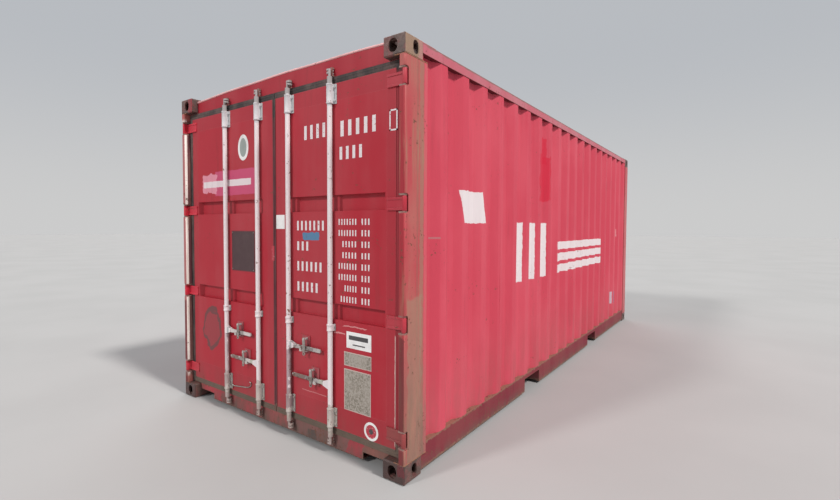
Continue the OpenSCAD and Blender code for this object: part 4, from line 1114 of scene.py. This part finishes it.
def polylines(name: str, lines: Iterable[list[Point]]) -> bpy.types.Object:
    """Makes an object of open or closed lines of edges for a recipe."""
    mesh = bmesh.new()
    for line in lines:
        closed = line[0] == line[-1]
        spots = [mesh.verts.new(p) for p in (line[:-1] if closed else line)]
        pairs = zip(spots, spots[1:] + spots[:1] if closed else spots[1:])
        for a, b in pairs:
            mesh.edges.new((a, b))
    return add_piece(name, mesh)


@dataclass
class Wall:
    """One corrugated wall: its node, the turn that faces it outwards, and its troughs."""

    node: str
    turn: float
    pitch: float
    flat: float
    slope: float
    deep: float
    lead: float = 0.0

    def shift(self, count: int, half: float) -> float:
        """Gives how far the troughs sit off the middle of the wall.

        Args:
            count: Number of troughs.
            half: Half the length of the wall.

        Returns:
            The shift along +Y, or 0 where the troughs are in the middle.
        """
        crest = self.pitch - self.flat - 2 * self.slope
        return self.lead - half + (count * self.pitch - crest) / 2 if self.lead else 0.0


@dataclass
class Walls:
    """The corrugated walls, with round bends, a few shallow dents and the seams of their sheets."""

    frame: Frame
    paints: Paints
    thick: float = 0.002
    bend: float = 0.012
    dent: float = 0.006
    seam_every: int = 4

    def build(self) -> None:
        """Makes the three walls in the places of their solids."""
        self.recipe, self.beads = PressedSheetRecipe(), BeadRecipe()
        for side, turn in (("right", 0.0), ("left", math.pi)):
            self.sheet(Wall(f"side_wall_{side}", turn, 0.284, 0.072, 0.068, 0.036, 0.002))
        self.sheet(Wall("front_wall", math.pi / 2, 0.248, 0.108, 0.018, 0.045))

    def sheet(self, wall: Wall) -> None:
        """Presses one wall.

        Args:
            wall: Its sizes.
        """
        box, out = self.frame.box(wall.node), self.thick / 2
        size, middle = box.high - box.low, box.middle
        half = max(size.x, size.y) / 2
        count = int(2 * half // wall.pitch)
        shift = wall.shift(count, half)
        if wall.node == "front_wall":
            place = (middle.x, box.high.y - out, middle.z)
        else:
            sign = 1.0 if box.high.x > 0 else -1.0
            place = (sign * (max(abs(box.low.x), abs(box.high.x)) - out), middle.y, middle.z)
            self.seams(wall, sign, count, shift, box)
            shift *= sign
        blank = add_piece(f"{wall.node}_sheet", bmesh.new())
        self.recipe.run(blank, 30.0, count=count, pitch=wall.pitch, flat=wall.flat, slope=wall.slope,
                        deep=wall.deep, half=half, tall=size.z, thick=self.thick, bend=self.bend, shift=shift,
                        dent=self.dent, place=place, turn=(0.0, 0.0, wall.turn),
                        outside=self.paints["wall_paint_outside"], inside=self.paints["wall_paint_inside"])
        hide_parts(wall.node)
        dress(blank, "container")

    def seams(self, wall: Wall, sign: float, count: int, shift: float, box: Box) -> None:
        """Lays the upright welds that join the sheets of a side.

        Args:
            wall: The wall's sizes.
            sign: 1 on the right, -1 on the left.
            count: Number of troughs.
            shift: How far the troughs are off the middle.
            box: The wall's box.
        """
        x = sign * (max(abs(box.low.x), abs(box.high.x)) - 0.0004)
        joints = [wall.pitch * (i - count / 2) + shift
                  for i in range(self.seam_every, count, self.seam_every)]
        lines = [[(x, y, box.low.z + 0.01), (x, y, box.high.z - 0.01)] for y in joints]
        piece = polylines(f"{wall.node}_seams", lines)
        self.beads.run(piece, size=0.0018, step=0.02, ripple=0.2, finish=self.paints["wall_paint_outside"])
        dress(piece, "container")


def merged_copy(node: bpy.types.Object) -> bmesh.types.BMesh:
    """Copies a solid's loose triangles as one closed mesh with large flat faces."""
    mesh = bmesh.new()
    mesh.from_mesh(node.data)
    bmesh.ops.remove_doubles(mesh, verts=mesh.verts, dist=1e-6)
    bmesh.ops.dissolve_limit(mesh, angle_limit=math.radians(1.0), verts=mesh.verts, edges=mesh.edges)
    return mesh


def sharp_edges(mesh: bmesh.types.BMesh, angle: float = 35.0) -> list[bmesh.types.BMEdge]:
    """Finds the edges where two faces meet at more than an angle in degrees."""
    limit = math.radians(angle)
    return [e for e in mesh.edges if len(e.link_faces) == 2 and e.calc_face_angle(0.0) > limit]


@dataclass
class RoundedSolids:
    """Copies of solids with the rounded edges of castings, pressed posts and forgings."""

    frame: Frame
    widths: tuple[tuple[str, float], ...] = (
        ("corner_fittings", 0.007), ("post_rear", 0.006), ("door_sill", 0.003), ("door_hinges", 0.003),
        ("hinge_lugs", 0.003), ("bar_brackets", 0.002), ("handle_", 0.002),
    )

    def build(self) -> None:
        """Rounds the edges of each solid whose name starts or ends as listed."""
        for name, node in self.frame.nodes.items():
            for word, width in self.widths:
                if word in name:
                    self.round(name, node, width)

    def round(self, name: str, node: bpy.types.Object, width: float) -> None:
        """Rounds one solid's sharp edges and lets the copy stand for it.

        Args:
            name: The node's name.
            node: Its object.
            width: Width of the rounding.
        """
        mesh = merged_copy(node)
        bmesh.ops.bevel(mesh, geom=sharp_edges(mesh), offset=width, segments=2, profile=0.5, affect="EDGES",
                        clamp_overlap=True)
        finish = node.material_slots[0].material
        copy = add_piece(f"{name}_rounded", mesh, finish)
        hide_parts(name)
        dress(copy, self.body(name))

    def body(self, name: str) -> str:
        """Gives the body that carries a node."""
        for start, body in (("left_", "left_door"), ("right_", "right_door")):
            if name.startswith(start):
                return body
        return f"handle_arm_{name[-1]}" if name.startswith("handle_") else "container"

    def slot(self, name: str) -> str:
        """Gives the record's slot of a node's finish."""
        for word, slot in (("corner", "bare_casting"), ("post", "post_paint"), ("sill", "frame_paint"),
                           ("hinges", "door_paint"), ("lugs", "worn_steel")):
            if word in name:
                return slot
        return "white_gear"


@dataclass
class DoorPanels:
    """The pressed panels of the doors: red outside, grey inside, with soft bends round their troughs."""

    frame: Frame
    paints: Paints
    bend: float = 0.006

    def build(self) -> None:
        """Makes both panels."""
        for side in ("left", "right"):
            self.panel(side)

    def panel(self, side: str) -> None:
        """Rounds the bends of one panel and paints its two faces.

        Args:
            side: Left or right.
        """
        node = f"{side}_door_panel"
        box, mesh = self.frame.box(node), merged_copy(self.frame.nodes[node])
        planes = [(axis, corner[axis]) for axis in (0, 2) for corner in (box.low, box.high)]

        def on_rim(vertices: Iterable[bmesh.types.BMVert]) -> bool:
            """Tells whether all the vertices lie on one border of the panel."""
            spots = [v.co for v in vertices]
            return any(all(abs(s[axis] - at) < 1e-5 for s in spots) for axis, at in planes)

        bends = [e for e in sharp_edges(mesh, 12.0)
                 if not on_rim(e.verts) and not any(on_rim(f.verts) for f in e.link_faces)]
        bmesh.ops.bevel(mesh, geom=bends, offset=self.bend, segments=3, profile=0.5, affect="EDGES",
                        clamp_overlap=True)
        rim = {f for f in mesh.faces if on_rim(f.verts)}
        left = {max(mesh.faces, key=lambda f: f.calc_area() * -f.normal.y)}
        outside = set()
        while left:
            face = left.pop()
            outside.add(face)
            left |= {f for e in face.edges for f in e.link_faces} - outside - rim
        for face in mesh.faces:
            face.material_index = 0 if face in outside else 1
        piece = add_piece(f"{node}_pressed", mesh, self.paints["door_paint"])
        piece.data.materials.append(self.paints["wall_paint_inside"])
        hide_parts(node)
        dress(piece, f"{side}_door")


@dataclass
class Header:
    """The beam over the doors, its top edge bowed up in the middle, with a pale pink bead on its lip as a
    painted highlight.
    """

    frame: Frame
    paints: Paints
    rise: float = 0.014
    bow: float = 0.0155
    crown: float = 0.30
    cuts: int = 24

    def level(self, x: float, top: float) -> float:
        """Gives the height of the bowed edge.

        Args:
            x: Place across the container.
            top: Height of the straight edge.

        Returns:
            The height at x.
        """
        return top + self.rise - self.bow * (x - self.crown) ** 2 + 0.0015 * math.sin(9.0 * x + 0.7)

    def build(self) -> None:
        """Bends a copy of the beam and lays on its lip a pale pink bead, a painted highlight."""
        box = self.frame.box("door_header")
        mesh = bmesh.new()
        mesh.from_mesh(self.frame.nodes["door_header"].data)
        bmesh.ops.remove_doubles(mesh, verts=mesh.verts, dist=1e-6)
        for i in range(1, self.cuts):
            x = box.low.x + (box.high.x - box.low.x) * i / self.cuts
            parts = [*mesh.verts, *mesh.edges, *mesh.faces]
            bmesh.ops.bisect_plane(mesh, geom=parts, plane_co=(x, 0.0, 0.0), plane_no=(1.0, 0.0, 0.0))
        for v in mesh.verts:
            if v.co.z > box.high.z - 0.02:
                v.co.z += self.level(v.co.x, 0.0)
        beam = add_piece("door_header_beam", mesh, self.paints["header_paint"])
        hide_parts("door_header")
        dress(beam, "container")
        # The lip bead's pale pink stands for light on the top edge: a painted highlight.
        xs = [-1.055 + 2.11 * i / 48 for i in range(49)]
        lip = polylines("door_header_lip", [[(x, box.low.y + 0.002, self.level(x, box.high.z) - 0.006)
                                             for x in xs]])
        BeadRecipe().run(lip, 60.0, size=0.0075, step=0.02, ripple=0.1, finish=self.paints["lip_highlight_pink"])
        dress(lip, "container")


@dataclass
class Gaskets:
    """The middle lips of the door seals and the ribs along their outer bands."""

    frame: Frame
    paints: Paints
    lip: tuple[float, float] = (0.0015, 0.016)
    thick: float = 0.0035
    rib: float = 0.0022

    def build(self) -> None:
        """Makes the lips and ribs of both doors."""
        beads = BeadRecipe()
        for side, sign in (("left", -1), ("right", 1)):
            leaf, seal = self.frame.box(f"{side}_door_frame"), self.frame.box(f"{side}_door_seal")
            mesh = bmesh.new()
            ends = sorted(sign * x for x in self.lip)
            low, high = (ends[0], leaf.low.y - self.thick, leaf.low.z), (ends[1], leaf.low.y, leaf.high.z)
            add_block(mesh, low, high, 0.001)
            lip = add_piece(f"{side}_seal_lip", mesh, self.paints["seal_rubber"])
            dress(lip, f"{side}_door")
            edge = max(abs(leaf.low.x), abs(leaf.high.x))
            y, lines = seal.low.y, []
            for out in (0.012, 0.030):
                x, low, high = sign * (edge + out), leaf.low.z - out, leaf.high.z + out
                lines.append([(sign * 0.012, y, low), (x, y, low), (x, y, high), (sign * 0.012, y, high)])
            ribs = polylines(f"{side}_seal_ribs", lines)
            beads.run(ribs, 60.0, size=self.rib, step=0.05, ripple=0.0, finish=self.paints["seal_rib"])
            dress(ribs, f"{side}_door")


@dataclass
class Holdback:
    """The hooked rod that lies across the foot of the left door."""

    paints: Paints
    radius: float = 0.004

    def build(self) -> None:
        """Bends the rod, with an eye at one end and a hook at the other."""
        y = -2.9885
        eye = [(-0.552 + 0.013 * math.cos(a), y, 0.206 + 0.013 * math.sin(a))
               for a in (math.radians(20 + 32 * i) for i in range(11))]
        run = [(-0.50, y, 0.214), (-0.42, y, 0.224), (-0.36, y, 0.232), (-0.327, y, 0.240)]
        hook = [(-0.309, y, 0.250), (-0.297, y, 0.266), (-0.302, y, 0.280), (-0.316, y, 0.283)]
        rod = polylines("left_holdback_rod", [[*eye[::-1], *run, *hook]])
        BeadRecipe().run(rod, 60.0, size=self.radius, step=0.006, ripple=0.0,
                         finish=self.paints["plated_steel"])
        dress(rod, "left_door")


@dataclass
class CarriedFinishes:
    """The finish of every solid that shows as it is."""

    frame: Frame
    paints: Paints

    def build(self) -> None:
        """Gives each node its material."""
        by_word = {
            "corner_fittings": "bare_casting", "post_rear": "post_paint", "posts_front": "frame_paint",
            "bottom_rails": "rail_paint", "top_rails": "top_rail_paint", "door_header": "frame_paint",
            "door_sill": "sill_paint", "front_header": "frame_paint", "front_sill": "sill_paint",
            "roof_panel": "roof_paint", "roof_corner_plates": "roof_paint", "cross_members": "member_paint",
            "fork_pocket_liners": "rail_paint", "floor_boards": "floor_timber",
            "floor_centre_rail": "member_paint",
            "hinge_lugs": "worn_steel", "cam_keepers": "worn_steel", "door_frame": "leaf_paint",
            "door_panel": "door_paint", "door_seal": "seal_rubber", "door_hinges": "hinge_paint",
            "bar_brackets": "white_paint", "locking_bar": "white_paint", "handle": "handle_paint",
            "catch": "plated_steel",
        }
        for name, node in self.frame.nodes.items():
            words = [w for w in by_word if w in name]
            if not words:
                continue
            material = self.paints[by_word[max(words, key=len)]]
            for slot in node.material_slots:
                slot.material = material


@dataclass
class Markings:
    """Generic stencil rows, bare labels and bare plates on the doors."""

    frame: Frame
    paints: Paints
    film: float = 0.0006

    def build(self) -> None:
        """Makes all the marks of both doors."""
        face = self.frame.box("right_door_panel").low.y
        self.stencils(face)
        self.bolts, skin = BoltRecipe(), face - 0.0008
        self.flat("right_data_label", "label_white", (0.721, 0.723), (0.931, 0.829), face, 0.0008)
        self.flat("right_data_bar_upper", "label_dark", (0.742, 0.778), (0.905, 0.806), skin, 0.0004)
        self.flat("right_data_bar_lower", "label_dark", (0.775, 0.744), (0.880, 0.752), skin, 0.0004)
        self.plate("right_small_plate", "zinc_plate", (0.706, 0.611), (0.926, 0.690), face)
        self.plate("right_large_plate", "zinc_plate", (0.706, 0.323), (0.922, 0.579), face)
        self.plate("left_dark_plate", "dark_plate", (-0.541, 1.152), (-0.246, 1.460), face)
        self.flat("right_centre_label", "label_white", (0.018, 1.482), (0.112, 1.583), face, 0.0008)
        self.flat("left_centre_sticker", "label_red", (-0.033, 1.248), (-0.002, 1.357), face - 0.0035, 0.0008)
        self.round("right_round_label", "label_white", (0.930, 0.228), (0.058, 0.058), face)
        self.round("right_round_centre", "label_red", (0.930, 0.228), (0.042, 0.042), skin)
        self.round("right_round_core", "label_dark", (0.930, 0.228), (0.017, 0.017), skin - 0.0008)
        self.round("left_oval_label", "label_white", (-0.382, 2.111), (0.068, 0.100), face)
        self.round("left_oval_centre", "label_grey", (-0.382, 2.111), (0.043, 0.072), skin)

    def door(self, name: str) -> str:
        """Gives the body that carries a mark, from the first word of its name."""
        return f"{name.split('_')[0]}_door"

    def plate(self, name: str, finish: str, low: tuple[float, float], high: tuple[float, float],
              face: float) -> None:
        """Makes a riveted plate on a slightly larger holder.

        Args:
            name: The plate's name.
            finish: The plate's material.
            low: Lower corner across the door and up.
            high: Upper corner.
            face: The surface that it lies on.
        """
        edge, inset, thick = 0.006, 0.010, 0.0012
        outer = ((low[0] - edge, low[1] - edge), (high[0] + edge, high[1] + edge))
        self.flat(f"{name}_holder", "holder_pale" if finish == "zinc_plate" else "holder_red", *outer, face,
                  thick)
        self.flat(name, finish, low, high, face - thick, 0.001)
        corners = [(x, face - thick - 0.0004, z) for x in (low[0] + inset, high[0] - inset)
                   for z in (low[1] + inset, high[1] - inset)]
        rivets = point_cloud(f"{name}_rivets", corners)
        self.bolts.run(rivets, size=0.007, facing=(0.0, -1.0, 0.0), seed=3, sides=10,
                       finish=self.paints["plated_steel"])
        dress(rivets, self.door(name))

    def stencils(self, face: float) -> None:
        """Makes plain upright dashes in the rows where the right door carries its data.

        Args:
            face: Front of the door panel.
        """
        mesh = bmesh.new()
        for x0, x1, z0, tall in self.rows():
            count = max(1, round((x1 - x0) / (0.52 * tall)))
            step = (x1 - x0) / count
            for i in range(count):
                x = x0 + (i + 0.2) * step
                add_block(mesh, (x, face - self.film, z0 + 0.1 * tall),
                          (x + 0.42 * step, face, z0 + 0.9 * tall))
        x0, x1, z0, z1, line = 1.070, 1.130, 2.062, 2.186, 0.009
        for low, high in (((x0, z0), (x1, z0 + line)), ((x0, z1 - line), (x1, z1)),
                          ((x0, z0), (x0 + line, z1)), ((x1 - line, z0), (x1, z1))):
            add_block(mesh, (low[0], face - self.film, low[1]), (high[0], face, high[1]))
        dress(add_piece("right_stencil_dashes", mesh, self.paints["stencil_white"]), "right_door")

    def rows(self) -> Iterable[tuple[float, float, float, float]]:
        """Gives each bar's start and end across the door, its foot and the height of its row."""
        yield from ((0.313, 0.552, 2.078, 0.118), (0.657, 0.990, 2.062, 0.124), (0.650, 0.875, 1.918, 0.102))
        yield from ((0.238, 0.530, 1.465, 0.082), (0.238, 0.378, 1.326, 0.078))
        yield from ((0.238, 0.508, 1.184, 0.082), (0.238, 0.470, 1.042, 0.082))
        for i, first in enumerate((0.647, 0.647, 0.680, 0.680, 0.647, 0.647, 0.700, 0.665)):
            yield first, 0.815, 1.506 - 0.071 * i, 0.048
            yield 0.845, 0.926, 1.506 - 0.071 * i, 0.048

    def flat(self, name: str, finish: str, low: tuple[float, float], high: tuple[float, float],
             face: float, thick: float) -> None:
        """Makes a bare plate or label on a door.

        Args:
            name: The piece's name.
            finish: The material's name.
            low: Lower corner across the door and up.
            high: Upper corner.
            face: The surface that it lies on.
            thick: Its thickness.
        """
        mesh = bmesh.new()
        add_block(mesh, (low[0], face - thick, low[1]), (high[0], face, high[1]), thick / 3)
        dress(add_piece(name, mesh, self.paints[finish]), self.door(name))

    def round(self, name: str, finish: str, centre: tuple[float, float], half: tuple[float, float],
              face: float) -> None:
        """Makes a round or oval label on a door.

        Args:
            name: The piece's name.
            finish: The material's name.
            centre: Middle across the door and up.
            half: Half width and half height.
            face: The surface that it lies on.
        """
        mesh = bmesh.new()
        place = Matrix.Translation((centre[0], face - 0.0004, centre[1]))
        turn = Matrix.Rotation(math.pi / 2, 4, "X")
        size = Matrix.Diagonal((half[0], half[1], 1.0, 1.0))
        bmesh.ops.create_cone(mesh, cap_ends=True, segments=48, radius1=1.0, radius2=1.0, depth=0.0008,
                              matrix=place @ turn @ size)
        bmesh.ops.recalc_face_normals(mesh, faces=mesh.faces)
        dress(add_piece(name, mesh, self.paints[finish]), self.door(name))


@dataclass
class Fastenings:
    """Bolts of the bar brackets, screws of the floor and welds of the frame."""

    frame: Frame
    paints: Paints
    seed: int = 7

    def build(self) -> None:
        """Makes the bolts, screws and welds."""
        self.bolts = BoltRecipe()
        self.beads = BeadRecipe()
        for side in ("left", "right"):
            self.bracket_bolts(side)
        self.floor_screws()
        self.frame_welds()

    def bracket_bolts(self, side: str) -> None:
        """Puts bolts through the flanges of the brackets of one door.

        Args:
            side: Left or right.
        """
        bars = [self.frame.pivot(f"bar_{i}_turn").x for i in ((1, 2) if side == "left" else (3, 4))]
        points = []
        for solid in self.frame.solids(f"{side}_bar_brackets"):
            middle, wide, tall = solid.middle, solid.high.x - solid.low.x, solid.high.z - solid.low.z
            on_bar = any(abs(middle.x - x) < 0.004 for x in bars)
            if not on_bar:
                continue
            reach = wide / 2 - 0.0085 if tall < 0.1 else wide / 2 - 0.010
            levels = (0.0,) if tall < 0.1 else (-0.34 * tall, 0.34 * tall)
            points += [(middle.x + s * reach, solid.high.y - 0.005, middle.z + z) for s in (-1, 1)
                       for z in levels]
        piece = point_cloud(f"{side}_bracket_bolts", points)
        self.bolts.run(piece, size=0.014, facing=(0.0, -1.0, 0.0), seed=self.seed, sides=6,
                       finish=self.paints["white_paint"])
        dress(piece, f"{side}_door")

    def floor_screws(self) -> None:
        """Puts rows of screws in the floor over each cross member."""
        floor = self.frame.box("floor_boards")
        rows = sorted({round(b.middle.y, 4) for b in self.frame.solids("cross_members")})
        across = [s * (0.075 + 0.15 * i) for i in range(8) for s in (-1, 1)]
        points = [(x, y, floor.high.z - 0.0012) for y in rows for x in across]
        piece = point_cloud("floor_screws", points)
        self.bolts.run(piece, size=0.012, facing=(0.0, 0.0, 1.0), seed=self.seed, sides=10,
                       finish=self.paints["plated_steel"])
        dress(piece, "container")

    def frame_welds(self) -> None:
        """Lays weld beads where posts meet castings and where the header and sill meet the posts."""
        post = self.frame.box("post_rear_right")
        header, sill = self.frame.box("door_header"), self.frame.box("door_sill")
        lines = []
        for s in (-1, 1):
            for z in (post.low.z, post.high.z):
                a, b = s * (post.low.x + 0.002), s * (post.high.x - 0.002)
                lines.append([(a, post.low.y + 0.004, z), (b, post.low.y + 0.004, z), (b, post.high.y, z)])
            x = s * post.low.x
            lines.append([(x, header.low.y, header.low.z), (x, header.low.y, post.high.z)])
            lines.append([(x, sill.low.y, post.low.z), (x, sill.low.y, sill.high.z - 0.02)])
        piece = polylines("frame_welds", lines)
        self.beads.run(piece, size=0.004, step=0.006, ripple=0.25, finish=self.paints["weld_steel"])
        dress(piece, "container")


@dataclass(frozen=True)
class Viewpoint:
    """Where the photograph was taken from, worked out from the container's own corners."""

    place: Point = (2.757, -5.096, 1.499)
    heading: float = 36.48
    tilt: float = -2.1
    roll: float = 0.21
    focal_px: float = 456.0
    frame_px: tuple[float, float] = (840.0, 500.0)
    axis_px: tuple[float, float] = (406.1, 243.7)
    sensor: float = 36.0

    def build(self) -> None:
        """Makes the camera and gives it to the scene."""
        heading, tilt, roll = (math.radians(a) for a in (self.heading, self.tilt, self.roll))
        ahead = Vector((-math.sin(heading) * math.cos(tilt), math.cos(heading) * math.cos(tilt),
                        math.sin(tilt)))
        right = ahead.cross(Vector((0.0, 0.0, 1.0))).normalized()
        up = right.cross(ahead)
        right, up = math.cos(roll) * right + math.sin(roll) * up, math.cos(roll) * up - math.sin(roll) * right
        camera = bpy.data.objects.new("camera", bpy.data.cameras.new("camera"))
        camera.matrix_world = Matrix.Translation(self.place) @ Matrix((right, up,
                                                                       -ahead)).transposed().to_4x4()
        wide, tall = self.frame_px
        camera.data.sensor_width = self.sensor
        camera.data.lens = self.sensor * self.focal_px / wide
        camera.data.shift_x = (wide / 2 - self.axis_px[0]) / wide
        camera.data.shift_y = (self.axis_px[1] - tall / 2) / wide
        bpy.context.scene.collection.objects.link(camera)
        bpy.context.scene.camera = camera


@dataclass
class Studio:
    """Plain pale floor and soft light, with the key light on the right side."""

    paints: Paints
    floor_half: float = 90.0
    sky: Colour = (0.48, 0.50, 0.53)
    haze: Colour = (0.60, 0.60, 0.60)

    def build(self) -> None:
        """Makes the floor, the lights and the world."""
        mesh = bmesh.new()
        bmesh.ops.create_grid(mesh, x_segments=8, y_segments=8, size=self.floor_half)
        bmesh.ops.translate(mesh, verts=mesh.verts, vec=(0.0, 0.0, -0.0005))
        floor = add_piece("studio_floor", mesh, self.paints["studio_floor"])
        world = bpy.data.worlds.new("studio")
        bpy.context.scene.world = world
        world.use_nodes = True
        writer = NodeWriter(world.node_tree)
        way = writer.node("ShaderNodeTexCoord").outputs["Generated"]
        lift = writer.rise(writer.split(way)[2], 0.0, 0.35)
        ends = {0: lift, 6: (*self.haze, 1.0), 7: (*self.sky, 1.0)}
        shade = writer.node("ShaderNodeMix", ends, data_type="RGBA").outputs[2]
        world.node_tree.links.new(shade, world.node_tree.nodes["Background"].inputs["Color"])
        self.sun("key", (6.5, -0.3, 7.8), 3.1, 7.0, (1.0, 0.97, 0.94))
        self.sun("front", (-2.6, -7.0, 5.0), 1.57, 8.0, (1.0, 0.98, 0.96))
        self.sun("back", (-6.0, 7.0, 5.0), 0.6, 40.0, (0.97, 0.98, 1.0))
        view = bpy.context.scene.view_settings
        view.view_transform = "Standard"
        view.look = "None"

    def sun(self, name: str, place: Point, power: float, wide: float, colour: Colour) -> None:
        """Makes a soft distant lamp.

        Args:
            name: The lamp's name.
            place: The way it shines from, towards the container.
            power: Its strength.
            wide: Its width in the sky, in degrees.
            colour: Its colour.
        """
        data = bpy.data.lights.new(name, "SUN")
        data.energy, data.angle, data.color = power, math.radians(wide), colour
        lamp = bpy.data.objects.new(name, data)
        lamp.location = place
        lamp.rotation_euler = (-Vector(place)).to_track_quat("-Z", "Y").to_euler()
        bpy.context.scene.collection.objects.link(lamp)


def main() -> None:
    """Builds the looks of the container round its frame."""
    logging.basicConfig(level=logging.INFO, format="%(message)s")
    frame = Frame(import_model())
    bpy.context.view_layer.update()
    paints = Paints()
    paints.build()
    Viewpoint().build()
    Studio(paints).build()
    CarriedFinishes(frame, paints).build()
    RoundedSolids(frame).build()
    DoorPanels(frame, paints).build()
    Walls(frame, paints).build()
    Header(frame, paints).build()
    Gaskets(frame, paints).build()
    Holdback(paints).build()
    Markings(frame, paints).build()
    Fastenings(frame, paints).build()


if __name__ == "__main__":
    main()
